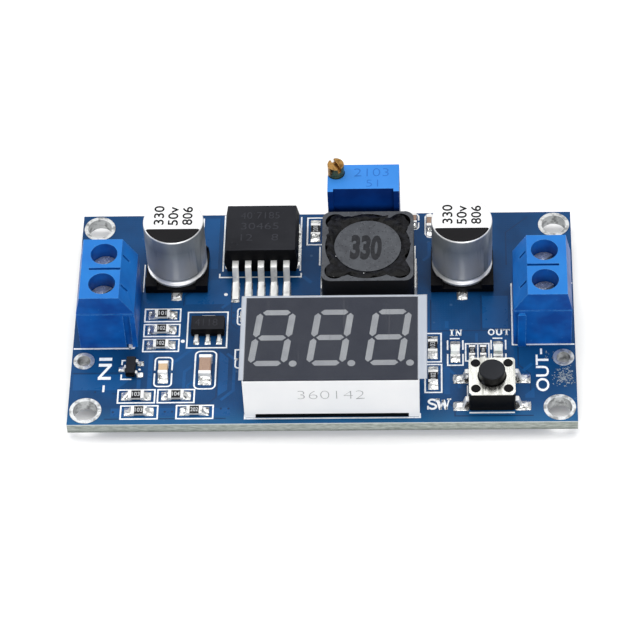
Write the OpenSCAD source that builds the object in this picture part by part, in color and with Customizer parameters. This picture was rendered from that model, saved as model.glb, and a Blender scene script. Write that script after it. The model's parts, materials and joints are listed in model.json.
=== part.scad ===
// Adjustable step-down converter module with a three-digit voltmeter.
// Millimetres. The origin is the centre of the board on its underside, +X points
// to the output terminals, +Y to the trimmer's edge and +Z up through the parts.

/* [Board] */
// Length of the board between the two terminal blocks' edges
board_w = 66; // [65.5:0.5:72]
// Depth of the board
board_d = 36; // [35.8:0.2:42]
// Thickness of the board
board_t = 1.6; // [1:0.1:2.4]
// Radius of a plated mounting hole
mount_hole_r = 1.6; // [1.2:0.05:1.75]
// Distance of a mounting hole from both edges at its corner
mount_hole_inset = 2.3; // [2.25:0.05:3]
// Radius of the plated ring round a mounting hole
mount_ring_r = 2.1; // [1.9:0.05:2.2]
// Radius of a plated hole for a loose wire
wire_hole_r = 0.875; // [0.5:0.025:1]
// Radius of the plated ring round a wire hole
wire_ring_r = 1.4; // [1.2:0.05:1.5]
// Distance of a wire hole from the board's end
wire_hole_inset = 1.6; // [1.5:0.1:2.5]
// Distance of a wire hole from the board's middle
wire_hole_y = 7.4; // [6.8:0.1:9]
// Thickness of the plated copper
copper_t = 0.06; // [0.03:0.01:0.1]
// Length of a soldered pin below the board
pin_tail = 1.2; // [1:0.1:2]

/* [Screw terminals] */
// Distance between the two poles of a block
terminal_pitch = 5.08; // [5:0.01:5.3]
// Height of a block above the board
terminal_h = 10; // [9.5:0.1:12]
// Depth of a block from its inner wall to its wire side
terminal_depth = 7.6; // [7.4:0.1:8]
// Height of the inner wall below its chamfer, and of the wire side below its slope
terminal_shoulder_h = 6.9; // [6.6:0.1:7.4]
// Distance of the input block from the board's end
input_terminal_gap = 1; // [0:0.1:1.3]
// Distance of the output block from the board's end
output_terminal_gap = 0.5; // [0:0.1:1.3]
// Distance of the screws from the inner wall
screw_u = 4.1; // [4:0.05:4.4]
// Radius of the screw's head
screw_head_r = 1.7; // [1.6:0.02:1.74]
// Height of the screw's head
screw_head_h = 1.4; // [1.2:0.1:1.6]
// Depth of the screw's head below the top of the block
screw_head_drop = 2.4; // [2.2:0.1:2.6]
// Radius of the screw's shank
screw_r = 1.5; // [1.3:0.05:1.5]
// Radial clearance round a moving screw
screw_clearance = 0.06; // [0.04:0.01:0.1]
// Thickness of the contact's sheet metal
contact_t = 0.4; // [0.3:0.05:0.4]
// Width of the contact across one pole
contact_w = 4; // [4:0.05:4.2]

/* [Electrolytic capacitors] */
// Places of the input and the output capacitor
input_capacitor_at = [-19.7, 8.1];
output_capacitor_at = [18.3, 7.8];
// Radius of the can
can_r = 4; // [3.6:0.05:4.1]
// Height of the can's top above the board
can_top = 10.2; // [8:0.1:12]
// Side of the square base
can_base_w = 8.3; // [8.2:0.1:8.6]
// Thickness of the base's plate
can_base_t = 0.75; // [0.6:0.05:1]
// Width of a lead tab
can_lead_w = 1; // [0.8:0.1:1.6]
// Distance between the lead tabs' outer ends
can_lead_span = 10; // [9:0.1:10.4]

/* [Switching regulator] */
// Place of the middle of the regulator's moulding
regulator_at = [-8.45, 11.7];
// Width and depth of the moulding at its parting line
regulator_w = 9.9; // [9.4:0.1:10.2]
regulator_d = 8.6; // [8:0.1:9]
// Height of the moulding's top above the board
regulator_h = 4.5; // [4:0.1:5]
// Distance between neighbouring leads
regulator_pitch = 1.7; // [1.5:0.02:1.72]
// Width of a lead
regulator_lead_w = 0.85; // [0.6:0.05:0.9]
// Thickness of a lead
regulator_lead_t = 0.45; // [0.35:0.05:0.5]
// Thickness of the cooling tab
regulator_tab_t = 1.27; // [1:0.01:1.4]

/* [Inductor] */
// Place of the inductor's middle
inductor_at = [5.9, 5.87];
// Side of the square shield
inductor_w = 12.1; // [12:0.1:12.3]
// Height of the shield's top above the board
inductor_h = 7.3; // [6:0.1:8]
// Radius of the shield's corners
inductor_corner_r = 1.2; // [0.8:0.1:1.6]
// Radius of the shield's round bore
shield_bore_r = 5.6; // [5.4:0.05:5.7]
// Radius of the drum core's flanges
drum_flange_r = 4.43; // [4.2:0.01:4.6]
// Thickness of a flange of the drum core
drum_flange_t = 1.1; // [0.8:0.1:1.4]
// Radius of the drum core's waist
drum_waist_r = 2.4; // [2:0.1:3]

/* [Trimmer] */
// Place of the trimmer's middle
trimmer_at = [5.3, 15.42];
// Width, depth and height of the trimmer above the board
trimmer_w = 9.53; // [9:0.01:9.6]
trimmer_d = 4.83; // [4.6:0.01:4.9]
trimmer_h = 10.05; // [9:0.05:11]
// Radius of the adjusting screw
trimmer_screw_r = 1.1; // [0.9:0.05:1.15]
// Length of the adjusting screw above the top
trimmer_screw_rise = 1.75; // [0.5:0.1:2]

/* [Display] */
// Place of the display's middle
display_at = [1.36, -9.99];
// Width and depth of the display
display_w = 22.6; // [22.4:0.1:22.8]
display_d = 14.1; // [14:0.1:14.2]
// Height of the display's face above the board
display_h = 7.45; // [6.4:0.05:9]
// Thickness of the side walls
display_wall = 1; // [0.8:0.1:1.2]
// Height of the gap between the corner feet
display_foot_h = 0.75; // [0.5:0.05:1]
// Distance between neighbouring digits
digit_pitch = 7.5; // [7.2:0.05:7.55]
// Height of a digit between the middles of its top and bottom bars
digit_h = 8.45; // [8:0.05:8.8]
// Width of a digit between the middles of its left and right bars
digit_w = 4.2; // [3.8:0.05:4.3]
// Width of a bar
bar_w = 0.85; // [0.7:0.05:0.9]
// Slant of the digits in degrees
digit_slant = 7; // [0:1:10]

/* [Push switch] */
// Place of the switch's middle
switch_at = [22, -13.2];
// Side of the square cover
switch_w = 6; // [5.8:0.1:6.2]
// Height of the cover's top above the board
switch_h = 3.5; // [3.3:0.1:4]
// Radius of the button
button_r = 1.71; // [1.5:0.01:1.74]
// Height of the button above the cover
button_rise = 1.4; // [0.8:0.1:4]
// Travel of the button
button_travel = 0.25; // [0.15:0.01:0.3]

/* [Chip parts] */
// Length, width, height, end cap, land length and land width of each chip size
resistor_size = [2, 1.25, 0.5, 0.4, 1.35, 1.4];
small_resistor_size = [1.6, 0.8, 0.45, 0.3, 0.85, 0.9];
capacitor_size = [2, 1.25, 1.1, 0.45, 1.35, 1.4];
large_capacitor_size = [3.2, 1.6, 1.25, 0.5, 1.6, 1.8];
small_capacitor_size = [1.6, 0.8, 0.8, 0.3, 0.85, 0.9];
indicator_size = [2, 1.25, 0.35, 0.4, 1.2, 1.35];
// Gap between the inner ends of a chip's two lands, as a share of its length
land_gap_share = 0.6; // [0.5:0.05:0.7]
// Height of the lens on an indicator's base
lens_h = 0.5; // [0.3:0.05:0.8]
// Thickness of a chip's end cap
cap_t = 0.04; // [0.02:0.01:0.06]
// Radius of a chip's solder fillet
fillet_r = 0.42; // [0.2:0.02:0.44]

/* [Hidden] */
$fn = 48;

// A cut runs this far past the face that it opens
cut = 0.5;
plating_t = 0.05;
seat_z = board_t + copper_t;

// Screw terminals: u runs from the inner wall to the wire side
terminal_len = 2 * terminal_pitch;
terminal_top_u = [1.8, 6.95];
terminal_floor = 0.8;
housing_fit = 0.05;
contact_u = 1.9;
contact_len = 4.4;
contact_h = 4.2;
contact_top_t = 0.9;
contact_pin = [1, 0.8];
screw_tip_h = 3.55;
screw_slot_w = 0.6;
screw_slot_d = 0.7;
guard_side_gap = 0.1;
guard_size = [3.2, contact_w - 2 * contact_t - 2 * guard_side_gap, 0.45];
guard_gap = 0.05;
entry_size = [3.2, 3.1];
entry_flare = 0.4;
entry_flare_d = 0.5;
entry_corner_r = 0.4;
dovetail_size = [1.1, 0.45, 6.3];
dovetail_neck = 0.7;
dovetail_u = 1.1;
slit_w = 0.35;
slit_d = 0.6;
seam_h = 6.85;
seam_size = [0.12, 0.2];

// Electrolytic capacitors
can_lead_t = 0.25;
can_lead_inner = 1.2;
can_crimp_r = 0.55;
can_crimp_h = 1.1;
can_shoulder_r = 0.35;
can_foot_r = 0.3;
can_corner_cut = 1.6;
can_corner_rise = 0.7;
can_corner_clearance = 0.1;
can_land = [1.5, 3.8];
can_land_reach = 0.3;

// Switching regulator
regulator_draft = 0.35;
regulator_tab_w = 8.4;
regulator_tab_rear = 1.3;
regulator_tab_front = 1.4;
regulator_exit_h = 2.4;
regulator_embed = 0.8;
regulator_knee = 0.9;
regulator_heel = 1.65;
regulator_toe = 4.75;
regulator_land = [1.15, 3.5];
regulator_land_back = 0.25;
regulator_tab_land_margin = [0.2, 0.5];
regulator_mark_at = [-3.7, -3];
regulator_mark = [0.45, 0.08];

// Inductor
inductor_base_t = 0.9;
inductor_strap_t = 0.3;
inductor_strap_w = 5.1;
inductor_strap_inner = 3.6;
inductor_strap_top = 1.7;
shield_pocket_at = 4.95;
shield_pocket_r = 1.35;
adhesive_drop = 0.25;
adhesive_t = 0.8;
winding_gap = 0.25;
inductor_land = [2.9, 5.4];
inductor_land_reach = 0.45;

// Trimmer
trimmer_foot_h = 0.4;
trimmer_foot_w = 1.2;
trimmer_recess_margin = 0.77;
trimmer_recess_d = 0.5;
trimmer_recess_z = 1.4;
trimmer_screw_from_end = 1.12;
trimmer_screw_y = 0.95;
trimmer_screw_depth = 4;
trimmer_screw_clearance = 0.06;
trimmer_slot = [0.45, 0.7];
trimmer_pin_r = 0.25;
trimmer_pin_pitch = 2.54;
trimmer_pin_embed = 1;

// Display
digit_shift = -0.13;
face_t = 0.1;
face_margin = 0.12;
top_wall = 1.2;
bar_h_len = 3.6;
bar_v_len = 3.95;
point_at = [2.78, -4.29];
point_r = 0.5;
foot_w = 1.4;
resin_floor = 2.2;
display_pin = [0.5, 0.3];
display_pin_pitch = 2.54;
display_pin_columns = 6;
display_pin_rows = 10.16;
display_pin_embed = 1.5;
film_t = 0.08;
film_over = [0.65, 0.2, 1.05, 0.15];

// Microcontroller under the display
micro_size = [6.5, 4.4, 1];
micro_pitch = 0.65;
micro_leads_a_side = 10;
micro_lead_w = 0.22;
micro_lead_t = 0.15;
micro_lead_runs = [0.2, 0.4, 1];
micro_land = [0.35, 1.2];
micro_land_back = 0.8;

// Push switch
cover_t = 0.3;
cover_corner_r = 0.45;
cover_hole_r = 1.86;
post_at = 2.1;
post_r = 0.57;
post_clearance = 0.04;
post_rise = 0.12;
switch_well_r = 2.35;
switch_well_z = 1.1;
button_flange_r = 2.1;
button_flange_t = 0.5;
button_round = 0.25;
button_nub_r = 0.6;
button_gap = 0.05;
dome_r = 2.1;
dome_t = 0.15;
dome_rise = 0.6;
dome_clearance = 0.1;
switch_lead_y = 2.25;
switch_lead_w = 0.7;
switch_lead_t = 0.3;
switch_lead_exit = 1.5;
switch_lead_toe = 4.6;
switch_land = [2.1, 1.5];
switch_land_reach = 0.45;
switch_lead_embed = 0.6;
switch_lead_knee = 0.35;
switch_lead_heel = 0.75;

// Places of the chip parts, each with its turn in degrees
resistor_column = [-21.4, 0.3];
resistor_column_step = 2.56;
resistor_sites = concat(
    [for (i = [0:2]) [resistor_column[0], resistor_column[1] - i * resistor_column_step, 0]],
    [[-24.2, -13.4, 0], [-19, -13.4, 0], [-23.7, -16, 0], [-16.5, -16, 0]],
    [[14.35, -5.6, 90], [14.4, -10.75, 90], [-1.4, 14.9, 90]]
);
small_resistor_sites = [[19.5, -6.45, 90], [20.95, -6.45, 90]];
capacitor_sites = [[-20.85, -9.35, 90], [14.2, 15.75, 90]];
large_capacitor_sites = [[-15.35, -9.05, 90]];
small_capacitor_sites = [[11.85, 16.45, 90]];
indicator_sites = [[17.3, -6.4, 90], [22.9, -6.4, 90]];
resistor_chips = [[resistor_size, resistor_sites], [small_resistor_size, small_resistor_sites]];
capacitor_chips = [
    [capacitor_size, capacitor_sites],
    [large_capacitor_size, large_capacitor_sites],
    [small_capacitor_size, small_capacitor_sites]
];
indicator_chips = [[indicator_size, indicator_sites]];
all_chips = concat(resistor_chips, capacitor_chips, indicator_chips);

// Three-lead regulator of the meter, transistor and diode
small_regulator_at = [-15.25, -2.2];
small_regulator_size = [4.5, 2.5, 1.5];
small_regulator_pitch = 1.5;
small_regulator_toe = 2.3;
small_regulator_tab = [1.7, 2.1];
transistor_at = [-25.1, -8.9];
transistor_size = [1.3, 2.9, 1];
transistor_pitch = 1.9;
transistor_toe = 1.25;
transistor_lead_runs = [0.15, 0.25];
diode_at = [-8.3, 0];
diode_size = [4.3, 2.6, 2];
diode_strap_w = 1.5;
diode_strap_out = 0.2;
diode_strap_under = 0.9;
diode_land = [1.6, 1.9];
diode_land_back = 0.1;
small_regulator_lead_len = 1.6;
small_regulator_land = [0.8, 1.2];
small_regulator_tab_land = [2, 1.6];
small_regulator_land_back = 0.3;
transistor_land = [0.9, 0.8];
transistor_land_back = 0.05;
lead_embed = 0.3;
package_lift = 0.1;
small_lead_t = 0.2;
small_lead_w = 0.45;
small_draft = 0.1;

// ---- Shared shapes -------------------------------------------------------

// A block standing on its base, centred on the vertical axis
module slab(size) {
    translate([-size[0] / 2, -size[1] / 2, 0]) cube(size);
}

// A rectangle with round corners
module rounded_rect(w, d, r) {
    square([w - 2 * r, d], center = true);
    square([w, d - 2 * r], center = true);
    for (x = [-1, 1], y = [-1, 1])
        translate([x * (w / 2 - r), y * (d / 2 - r)]) circle(r);
}

// A strip of sheet metal bent along a line of points
module bent_strip(points, t) {
    for (i = [0 : len(points) - 2]) {
        run = points[i + 1] - points[i];
        translate(points[i]) rotate(atan2(run[1], run[0]))
            translate([0, -t / 2]) square([norm(run), t]);
    }
    for (i = [1 : len(points) - 2]) translate(points[i]) circle(d = t);
}

// A bent lead that leaves along +X, with its line in the upright plane
module lead(points, w, t) {
    rotate([90, 0, 0]) linear_extrude(w, center = true) bent_strip(points, t);
}

// A gull-wing lead: out of the body at one height, then down to a flat foot
module gull_wing(start, knee, heel, toe, exit_h, w, t) {
    lead([[start, exit_h], [knee, exit_h], [heel, t / 2], [toe, t / 2]], w, t);
}

// Half the outline of a moulding that narrows above and below its parting line
module drafted_outline(w, h, draft) {
    polygon([
        [-w / 2 + draft, 0], [w / 2 - draft, 0], [w / 2, h / 2],
        [w / 2 - draft, h], [-w / 2 + draft, h], [-w / 2, h / 2]
    ]);
}

// A moulded package drafted on all four sides
module moulding(size, draft) {
    intersection() {
        rotate([90, 0, 0]) linear_extrude(size[1] + cut, center = true)
            drafted_outline(size[0], size[2], draft);
        rotate([90, 0, 90]) linear_extrude(size[0] + cut, center = true)
            drafted_outline(size[1], size[2], draft);
    }
}

// A plated barrel with a flat ring on each side of the board
module plated_hole(hole_r, ring_r) {
    rotate_extrude() polygon([
        [hole_r, -copper_t], [ring_r, -copper_t], [ring_r, 0], [hole_r + plating_t, 0],
        [hole_r + plating_t, board_t], [ring_r, board_t],
        [ring_r, board_t + copper_t], [hole_r, board_t + copper_t]
    ]);
}

// ---- Places --------------------------------------------------------------

module at_mounting_holes() {
    for (x = [-1, 1], y = [-1, 1])
        translate([x * (board_w / 2 - mount_hole_inset), y * (board_d / 2 - mount_hole_inset), 0])
            children();
}

module at_wire_holes() {
    for (x = [-1, 1], y = [-1, 1])
        translate([x * (board_w / 2 - wire_hole_inset), y * wire_hole_y, 0]) children();
}

// The two blocks are the same moulding, turned half a turn from each other
module at_input_terminal() {
    translate([-(board_w / 2 - input_terminal_gap - terminal_depth), 0, board_t])
        rotate(180) children();
}

module at_output_terminal() {
    translate([board_w / 2 - output_terminal_gap - terminal_depth, 0, board_t]) children();
}

// Side is 1 for the pole with the larger own Y, -1 for the other
module at_pole(side) {
    translate([0, side * terminal_pitch / 2, 0]) children();
}

module at_poles() {
    for (side = [-1, 1]) at_pole(side) children();
}

module at_contact_pins() {
    at_input_terminal() at_poles() translate([screw_u, 0, -board_t]) children();
    at_output_terminal() at_poles() translate([screw_u, 0, -board_t]) children();
}

module at_trimmer_pins() {
    for (i = [-1:1])
        translate([trimmer_at[0] + i * trimmer_pin_pitch, trimmer_at[1], 0]) children();
}

module at_display_pins() {
    for (i = [0 : display_pin_columns - 1], y = [-1, 1])
        translate([
            display_at[0] + (i - (display_pin_columns - 1) / 2) * display_pin_pitch,
            display_at[1] + y * display_pin_rows / 2,
            0
        ]) children();
}

module at_seat(place) {
    translate([place[0], place[1], seat_z]) children();
}

module at_chips(sites) {
    for (s = sites) translate([s[0], s[1], seat_z]) rotate(s[2]) children();
}

// ---- Board ---------------------------------------------------------------

pin_drill_clearance = 0.1;

module drill(r) {
    translate([0, 0, -cut]) cylinder(r = r, h = board_t + 2 * cut);
}

module circuit_board() {
    color("royalblue") difference() {
        slab([board_w, board_d, board_t]);
        at_mounting_holes() drill(mount_hole_r + plating_t);
        at_wire_holes() drill(wire_hole_r + plating_t);
        at_contact_pins() drill(norm(contact_pin) / 2 + pin_drill_clearance);
        at_trimmer_pins() drill(trimmer_pin_r + pin_drill_clearance);
        at_display_pins() drill(norm(display_pin) / 2 + pin_drill_clearance);
    }
}

module mounting_hole_plating() {
    color("silver") at_mounting_holes() plated_hole(mount_hole_r, mount_ring_r);
}

module wire_hole_plating() {
    color("silver") at_wire_holes() plated_hole(wire_hole_r, wire_ring_r);
}

module land(size) {
    translate([0, 0, -copper_t]) slab([size[0], size[1], copper_t]);
}

module chip_lands(size) {
    inner = size[0] * land_gap_share / 2;
    for (x = [-1, 1]) translate([x * (inner + size[4] / 2), 0, 0]) land([size[4], size[5]]);
}

module solder_lands() {
    color("gainsboro") {
        for (chip = all_chips) at_chips(chip[1]) chip_lands(chip[0]);
        for (place = [input_capacitor_at, output_capacitor_at], y = [-1, 1])
            at_seat(place)
                translate([0, y * (can_lead_span / 2 + can_land_reach - can_land[1] / 2), 0])
                    land(can_land);
        at_seat(regulator_at) {
            translate([0, (regulator_tab_rear - regulator_tab_front) / 2, 0])
                land([regulator_w, regulator_d + regulator_tab_rear - regulator_tab_front]
                    + 2 * regulator_tab_land_margin);
            for (i = [-2:2])
                translate([i * regulator_pitch, -regulator_d / 2 - regulator_toe
                    + regulator_land[1] / 2 - regulator_land_back, 0])
                    land(regulator_land);
        }
        for (x = [-1, 1]) {
            at_seat(inductor_at)
                translate([x * (inductor_w / 2 + inductor_land_reach - inductor_land[0] / 2), 0, 0])
                    land(inductor_land);
            at_seat(diode_at)
                translate([x * (diode_size[0] / 2 - diode_land_back), 0, 0]) land(diode_land);
            for (y = [-1, 1])
                at_seat(switch_at)
                    translate([x * (switch_lead_toe + switch_land_reach - switch_land[0] / 2),
                        y * switch_lead_y, 0])
                        land(switch_land);
        }
        at_seat(small_regulator_at) {
            for (i = [-1:1])
                translate([i * small_regulator_pitch,
                    small_regulator_land_back - small_regulator_toe, 0])
                    land(small_regulator_land);
            translate([0, small_regulator_size[1] / 2 + small_regulator_land_back, 0])
                land(small_regulator_tab_land);
        }
        at_seat(transistor_at) {
            for (y = [-1, 1])
                translate([transistor_toe - transistor_land_back, y * transistor_pitch / 2, 0])
                    land(transistor_land);
            translate([transistor_land_back - transistor_toe, 0, 0]) land(transistor_land);
        }
        at_micro_leads()
            translate([0, -micro_size[1] / 2 - micro_land_back, 0]) land(micro_land);
    }
}

// Solder: a concave fillet at each chip end, and a cone round each pin
module chip_fillets(size) {
    for (turn = [0, 180])
        rotate(turn) translate([size[0] / 2, 0, 0]) rotate([90, 0, 0])
            linear_extrude(size[1], center = true) difference() {
                square(min(fillet_r, size[2]));
                translate([1, 1] * min(fillet_r, size[2])) circle(min(fillet_r, size[2]));
            }
}

cone_h = 0.9;
cone_base_extra = 0.45;
cone_tip_extra = 0.08;

module solder_cone(pin_reach) {
    translate([0, 0, -cone_h])
        cylinder(r1 = pin_reach + cone_tip_extra, r2 = pin_reach + cone_base_extra, h = cone_h);
}

module solder_joints() {
    color("silver") {
        for (chip = all_chips) at_chips(chip[1]) chip_fillets(chip[0]);
        difference() {
            at_contact_pins() solder_cone(norm(contact_pin) / 2);
            contact_pins();
        }
        difference() {
            at_trimmer_pins() solder_cone(trimmer_pin_r);
            trimmer_pin_shapes();
        }
        difference() {
            at_display_pins() solder_cone(norm(display_pin) / 2);
            display_pin_shapes();
        }
    }
}

// ---- Screw terminals -----------------------------------------------------

// Side view of a block: chamfer over the inner wall, slope over the wire side
module terminal_outline() {
    polygon([
        [0, 0], [0, terminal_shoulder_h], [terminal_top_u[0], terminal_h],
        [terminal_top_u[1], terminal_h], [terminal_depth, terminal_shoulder_h], [terminal_depth, 0]
    ]);
}

// A tongue, wider at its tip, that locks one block to the next
module dovetail(clearance) {
    half_neck = dovetail_neck / 2 + clearance;
    half_tip = dovetail_size[0] / 2 + clearance;
    reach = dovetail_size[1] + clearance;
    translate([dovetail_u, -terminal_len / 2, 0]) linear_extrude(dovetail_size[2] + clearance)
        polygon([
            [-half_neck, 0], [-half_tip, -reach], [half_tip, -reach], [half_neck, 0]
        ]);
}

module wire_entry(w, h, depth) {
    translate([terminal_depth + cut, 0, terminal_floor + contact_t + entry_size[1] / 2])
        rotate([90, 0, -90]) linear_extrude(depth + cut) rounded_rect(w, h, entry_corner_r);
}

// What one pole takes out of the block: screw shaft, contact seat, wire entry and slit
module pole_hollow() {
    seat_w = contact_w + 2 * housing_fit;
    translate([screw_u, 0, terminal_floor + contact_h])
        cylinder(r = screw_head_r + screw_clearance, h = terminal_h);
    translate([contact_u - housing_fit, -seat_w / 2, terminal_floor])
        cube([contact_len + 2 * housing_fit, seat_w, contact_h + housing_fit]);
    translate([screw_u, 0, -cut])
        slab([contact_pin[0] + 2 * housing_fit, contact_pin[1] + 2 * housing_fit,
            terminal_floor + 2 * cut]);
    wire_entry(entry_size[0], entry_size[1], terminal_depth - contact_u - contact_len);
    wire_entry(entry_size[0] + 2 * entry_flare, entry_size[1] + entry_flare, entry_flare_d);
    chamfer_run = [terminal_top_u[0], terminal_h - terminal_shoulder_h];
    translate([0, -slit_w / 2, terminal_shoulder_h])
        rotate([0, -atan2(chamfer_run[1], chamfer_run[0]), 0])
            translate([norm(chamfer_run) * 0.45, 0, -slit_d])
                cube([norm(chamfer_run) * 0.46, slit_w, slit_d + cut]);
}

module terminal_housing() {
    color("dodgerblue") difference() {
        union() {
            rotate([90, 0, 0]) linear_extrude(terminal_len, center = true) terminal_outline();
            dovetail(0);
        }
        translate([0, terminal_len, 0]) dovetail(housing_fit);
        at_poles() pole_hollow();
        // Parting groove between the poles, across the top
        translate([terminal_top_u[0], -slit_w / 2, terminal_h - slit_d])
            cube([terminal_top_u[1] - terminal_top_u[0] - 1, slit_w, slit_d + cut]);
        // Seam of the lid along both ends
        for (y = [-1, 1])
            translate([terminal_depth / 2, y * terminal_len / 2, seam_h - seam_size[1]])
                slab([terminal_depth + cut, 2 * seam_size[0], seam_size[1]]);
    }
}

module contact_pins() {
    at_contact_pins()
        translate([0, 0, -pin_tail])
            slab([contact_pin[0], contact_pin[1], pin_tail + board_t + terminal_floor]);
}

// A folded box that the wire enters, with the screw's thread through its roof
module terminal_contact() {
    difference() {
        translate([contact_u, -contact_w / 2, terminal_floor])
            cube([contact_len, contact_w, contact_h]);
        translate([contact_u - cut, -contact_w / 2 + contact_t, terminal_floor + contact_t])
            cube([contact_len + 2 * cut, contact_w - 2 * contact_t,
                contact_h - contact_t - contact_top_t]);
        translate([screw_u, 0, terminal_floor + contact_h - contact_top_t - cut])
            cylinder(r = screw_r + screw_clearance, h = contact_top_t + 2 * cut);
    }
    translate([screw_u, 0, -board_t - pin_tail])
        slab([contact_pin[0], contact_pin[1], pin_tail + board_t + terminal_floor]);
}

// The leaf that the screw pushes down on the wire
module wire_guard() {
    color("goldenrod")
        translate([screw_u, 0, screw_tip_h - guard_gap - guard_size[2]]) slab(guard_size);
}

module terminal_screw() {
    head_top = terminal_h - screw_head_drop;
    color("lightgray") translate([screw_u, 0, 0]) difference() {
        union() {
            translate([0, 0, head_top - screw_head_h]) cylinder(r = screw_head_r, h = screw_head_h);
            translate([0, 0, screw_tip_h]) cylinder(r = screw_r, h = head_top - screw_tip_h - cut);
        }
        translate([0, 0, head_top - screw_slot_d])
            rotate(35) slab([2 * screw_head_r + cut, screw_slot_w, screw_slot_d + cut]);
    }
}

module input_terminal_housing() {
    at_input_terminal() terminal_housing();
}

module input_terminal_contacts() {
    color("gold") at_input_terminal() at_poles() terminal_contact();
}

module input_plus_wire_guard() {
    at_input_terminal() at_pole(-1) wire_guard();
}

module input_plus_screw() {
    at_input_terminal() at_pole(-1) terminal_screw();
}

module input_minus_wire_guard() {
    at_input_terminal() at_pole(1) wire_guard();
}

module input_minus_screw() {
    at_input_terminal() at_pole(1) terminal_screw();
}

module output_terminal_housing() {
    at_output_terminal() terminal_housing();
}

module output_terminal_contacts() {
    color("gold") at_output_terminal() at_poles() terminal_contact();
}

module output_plus_wire_guard() {
    at_output_terminal() at_pole(1) wire_guard();
}

module output_plus_screw() {
    at_output_terminal() at_pole(1) terminal_screw();
}

module output_minus_wire_guard() {
    at_output_terminal() at_pole(-1) wire_guard();
}

module output_minus_screw() {
    at_output_terminal() at_pole(-1) terminal_screw();
}

// ---- Electrolytic capacitors ---------------------------------------------

can_seat = can_lead_t + can_base_t;

// A square plate with two cut corners and four low upstands round the can
module capacitor_base() {
    half = can_base_w / 2;
    color("black") translate([0, 0, can_lead_t]) difference() {
        linear_extrude(can_base_t + can_corner_rise) polygon([
            [-half, -half], [half, -half], [half, half - can_corner_cut],
            [half - can_corner_cut, half], [can_corner_cut - half, half],
            [-half, half - can_corner_cut]
        ]);
        translate([0, 0, can_base_t])
            cylinder(r = can_r + can_corner_clearance, h = can_corner_rise + cut);
        // The upstands stay at the corners only
        for (turn = [0, 90])
            rotate(turn) translate([0, 0, can_base_t])
                slab([can_base_w + cut, can_r * 1.3, can_corner_rise + cut]);
    }
}

// The drawn can: rolled foot, crimp groove, straight wall and round shoulder
module capacitor_can() {
    body_h = can_top - copper_t - can_seat;
    color("silver") translate([0, 0, can_seat]) rotate_extrude() difference() {
        union() {
            square([can_r - can_foot_r, body_h]);
            translate([0, can_foot_r]) square([can_r, body_h - can_foot_r - can_shoulder_r]);
            translate([can_r - can_foot_r, can_foot_r]) circle(can_foot_r);
            translate([can_r - can_shoulder_r, body_h - can_shoulder_r]) circle(can_shoulder_r);
        }
        translate([can_r + can_crimp_r * 0.4, can_crimp_h]) circle(can_crimp_r);
        translate([-can_r, -cut]) square([can_r, body_h + 2 * cut]);
    }
}

module capacitor_leads() {
    color("gainsboro") for (y = [-1, 1])
        translate([0, y * (can_lead_span / 2 + can_lead_inner) / 2, 0])
            slab([can_lead_w, can_lead_span / 2 - can_lead_inner, can_lead_t]);
}

module input_capacitor_base() {
    at_seat(input_capacitor_at) capacitor_base();
}

module input_capacitor_can() {
    at_seat(input_capacitor_at) capacitor_can();
}

module input_capacitor_leads() {
    at_seat(input_capacitor_at) capacitor_leads();
}

module output_capacitor_base() {
    at_seat(output_capacitor_at) capacitor_base();
}

module output_capacitor_can() {
    at_seat(output_capacitor_at) capacitor_can();
}

module output_capacitor_leads() {
    at_seat(output_capacitor_at) capacitor_leads();
}

// ---- Switching regulator -------------------------------------------------

regulator_body_lift = 0.1;

module regulator_tab_shape() {
    length = regulator_d - regulator_tab_front + regulator_tab_rear;
    translate([0, regulator_d / 2 + regulator_tab_rear - length / 2, 0])
        slab([regulator_tab_w, length, regulator_tab_t]);
}

module regulator_lead_shapes() {
    for (i = [-2:2])
        translate([i * regulator_pitch, -regulator_d / 2, 0]) rotate(-90)
            gull_wing(-regulator_embed, regulator_knee, regulator_heel, regulator_toe,
                regulator_exit_h, regulator_lead_w, regulator_lead_t);
}

module regulator_package() {
    color("dimgray") at_seat(regulator_at) difference() {
        translate([0, 0, regulator_body_lift])
            moulding([regulator_w, regulator_d, regulator_h - copper_t - regulator_body_lift],
                regulator_draft);
        regulator_tab_shape();
        regulator_lead_shapes();
        // Round ejector mark near the first lead
        translate([regulator_mark_at[0], regulator_mark_at[1],
            regulator_h - copper_t - regulator_mark[1]])
            cylinder(r = regulator_mark[0], h = cut);
    }
}

module regulator_tab() {
    color("silver") at_seat(regulator_at) regulator_tab_shape();
}

module regulator_leads() {
    color("silver") at_seat(regulator_at) regulator_lead_shapes();
}

// ---- Inductor ------------------------------------------------------------

shield_z = inductor_strap_t + inductor_base_t;
inductor_top = inductor_h - copper_t;

module inductor_plan() {
    rounded_rect(inductor_w, inductor_w, inductor_corner_r);
}

// Straps fold from under the base up its two sides
module inductor_strap_shapes() {
    half = inductor_w / 2;
    for (turn = [0, 180])
        rotate(turn)
            lead([
                [inductor_strap_inner, inductor_strap_t / 2],
                [half + inductor_strap_t / 2, inductor_strap_t / 2],
                [half + inductor_strap_t / 2, inductor_strap_top]
            ], inductor_strap_w, inductor_strap_t);
}

module inductor_terminals() {
    color("gainsboro") at_seat(inductor_at) inductor_strap_shapes();
}

module inductor_base() {
    color("black") at_seat(inductor_at) translate([0, 0, inductor_strap_t])
        linear_extrude(inductor_base_t) inductor_plan();
}

// The shield's hollow: a round bore and four pockets for the adhesive
module shield_hollow_plan() {
    circle(shield_bore_r);
    for (x = [-1, 1], y = [-1, 1])
        translate([x, y] * (shield_pocket_at - shield_pocket_r / 2)) circle(shield_pocket_r);
}

module inductor_shield() {
    color("gray") at_seat(inductor_at) translate([0, 0, shield_z])
        linear_extrude(inductor_top - shield_z) difference() {
            inductor_plan();
            shield_hollow_plan();
        }
}

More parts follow.
